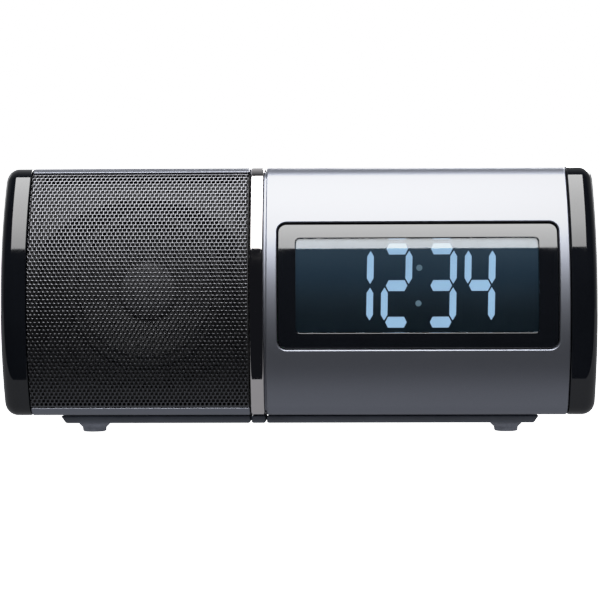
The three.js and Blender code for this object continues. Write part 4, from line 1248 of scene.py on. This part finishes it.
def build_world():
    """White to the camera and to diffuse light; to gloss, dark in front and paler behind."""
    world = bpy.data.worlds.new("studio")
    bpy.context.scene.world = world
    world.use_nodes = True
    world.node_tree.nodes.clear()
    sky = Nodes(world.node_tree)
    path = sky.node("ShaderNodeLightPath")
    where = sky.node("ShaderNodeTexCoord").outputs["Generated"]
    depth = sky.remap(sky.split(where, "Y"), (-1, 1), (0, 1))
    dark = sky.node("ShaderNodeBackground", {"Color": sky.ramp(
        depth, (0.38, (0.010, 0.011, 0.014)), (0.85, (0.55, 0.56, 0.58)))})
    bright = sky.node("ShaderNodeBackground", {"Color": (1, 1, 1, 1),
                                               "Strength": sky.backdrop(path, 1.0)})
    lit_ray = sky.node("ShaderNodeMath", {0: path.outputs["Is Camera Ray"],
                                          1: path.outputs["Is Diffuse Ray"]}, operation="MAXIMUM")
    mix = sky.node("ShaderNodeMixShader", {
        "Fac": lit_ray.outputs["Value"], 1: dark.outputs["Background"],
        2: bright.outputs["Background"]})
    sky.node("ShaderNodeOutputWorld", {"Surface": mix.outputs["Shader"]})


def softbox_material(strength, *stops):
    """Light graded from a sheet's first edge to its far one. Stops are [position, level]."""
    material = bpy.data.materials.new("softbox")
    material.use_nodes = True
    material.node_tree.nodes.clear()
    glow = Nodes(material.node_tree)
    across = glow.split(glow.node("ShaderNodeUVMap").outputs["UV"], "Y")
    color = glow.ramp(across, *[(position, (level,) * 3) for position, level in stops])
    light = glow.node("ShaderNodeEmission", {"Color": color, "Strength": strength})
    glow.node("ShaderNodeOutputMaterial", {"Surface": light.outputs["Emission"]})
    return material


def build_studio():
    build_world()
    # The softbox above and in front: the face sees it between two elevations.
    face, reach, half = Vector((-0.027, -0.044, 0.064)), 1.1, Vector((0.43, 0, 0))
    low, high = (face + Vector((0, -along, up)) * reach
                 for along, up in directions(26.2, 45.8, 1))
    sheet("softbox", [low - half, low + half, high + half, high - half],
          softbox_material(13.5, (0.0, 0.54), (0.1, 0.57), (0.3, 0.7), (0.52, 0.78), (0.72, 0.88),
                           (1.0, 1.0)), ("camera", "shadow"))
    emitter("rear_softbox", 1.0, 0.5, (0.5, 1.1, 0.8), 26)
    emitter("left_rim", 0.4, 0.8, (-0.95, 0.75, 0.4), 0.9)
    emitter("right_rim", 0.4, 0.8, (0.95, 0.75, 0.4), 0.9)

    ground = Shader("paper_floor", (0.05, 0.05, 0.05), 0.9, Emission_Color=(1, 1, 1, 1))
    path = ground.node("ShaderNodeLightPath")
    ground.feed(ground.inputs["Emission Strength"], ground.backdrop(path, 0.97))
    sheet("floor", flat_corners(6.0, -6.0, 6.0, 0), ground.material, ("glossy", "transmission"))
    # Gloss sees a dimmer table, which starts a little in front of the radio.
    glow = Shader("table_glow", (0, 0, 0), 1.0, Emission_Color=(0.93, 0.95, 1.0, 1),
                  Emission_Strength=0.4)
    sheet("table_glow", flat_corners(1.5, TABLE_FRONT_Y, 2.0, 0.0005), glow.material,
          ("camera", "diffuse", "transmission", "shadow"))


def build_camera():
    """Level with the middle of the face and a little to the right of it."""
    data = bpy.data.cameras.new("camera")
    data.sensor_width = 36
    data.lens = 96.9
    camera = link("camera", data)
    camera.location = (0.0138, cad_low.y - 0.555, 0.0469)
    camera.rotation_euler = (radians(90), radians(0.19), radians(1.34))
    bpy.context.scene.camera = camera
    view = bpy.context.scene.view_settings
    view.view_transform = "Standard"
    # A film shoulder, so the brightest silver stays just short of the backdrop's white.
    view.use_curve_mapping = True
    curves = view.curve_mapping
    curves.clip_max_x = BACKDROP
    tone = curves.curves[3]
    tone.points[-1].location = (BACKDROP, 1.0)
    for level, shown in ((0.3, 0.3), (0.6, 0.6), (0.85, 0.79), (1.2, 0.89)):
        tone.points.new(level, shown)
    curves.update()


build_camera()
dress_frame()
build_cap(-1, "left_end_cap")
build_cap(1, "right_end_cap")
build_grille_frame()
build_grille()
build_band()
build_front_panel()
build_shells()
build_controls()
build_base()
build_rear()
build_speaker()
build_display()
build_studio()
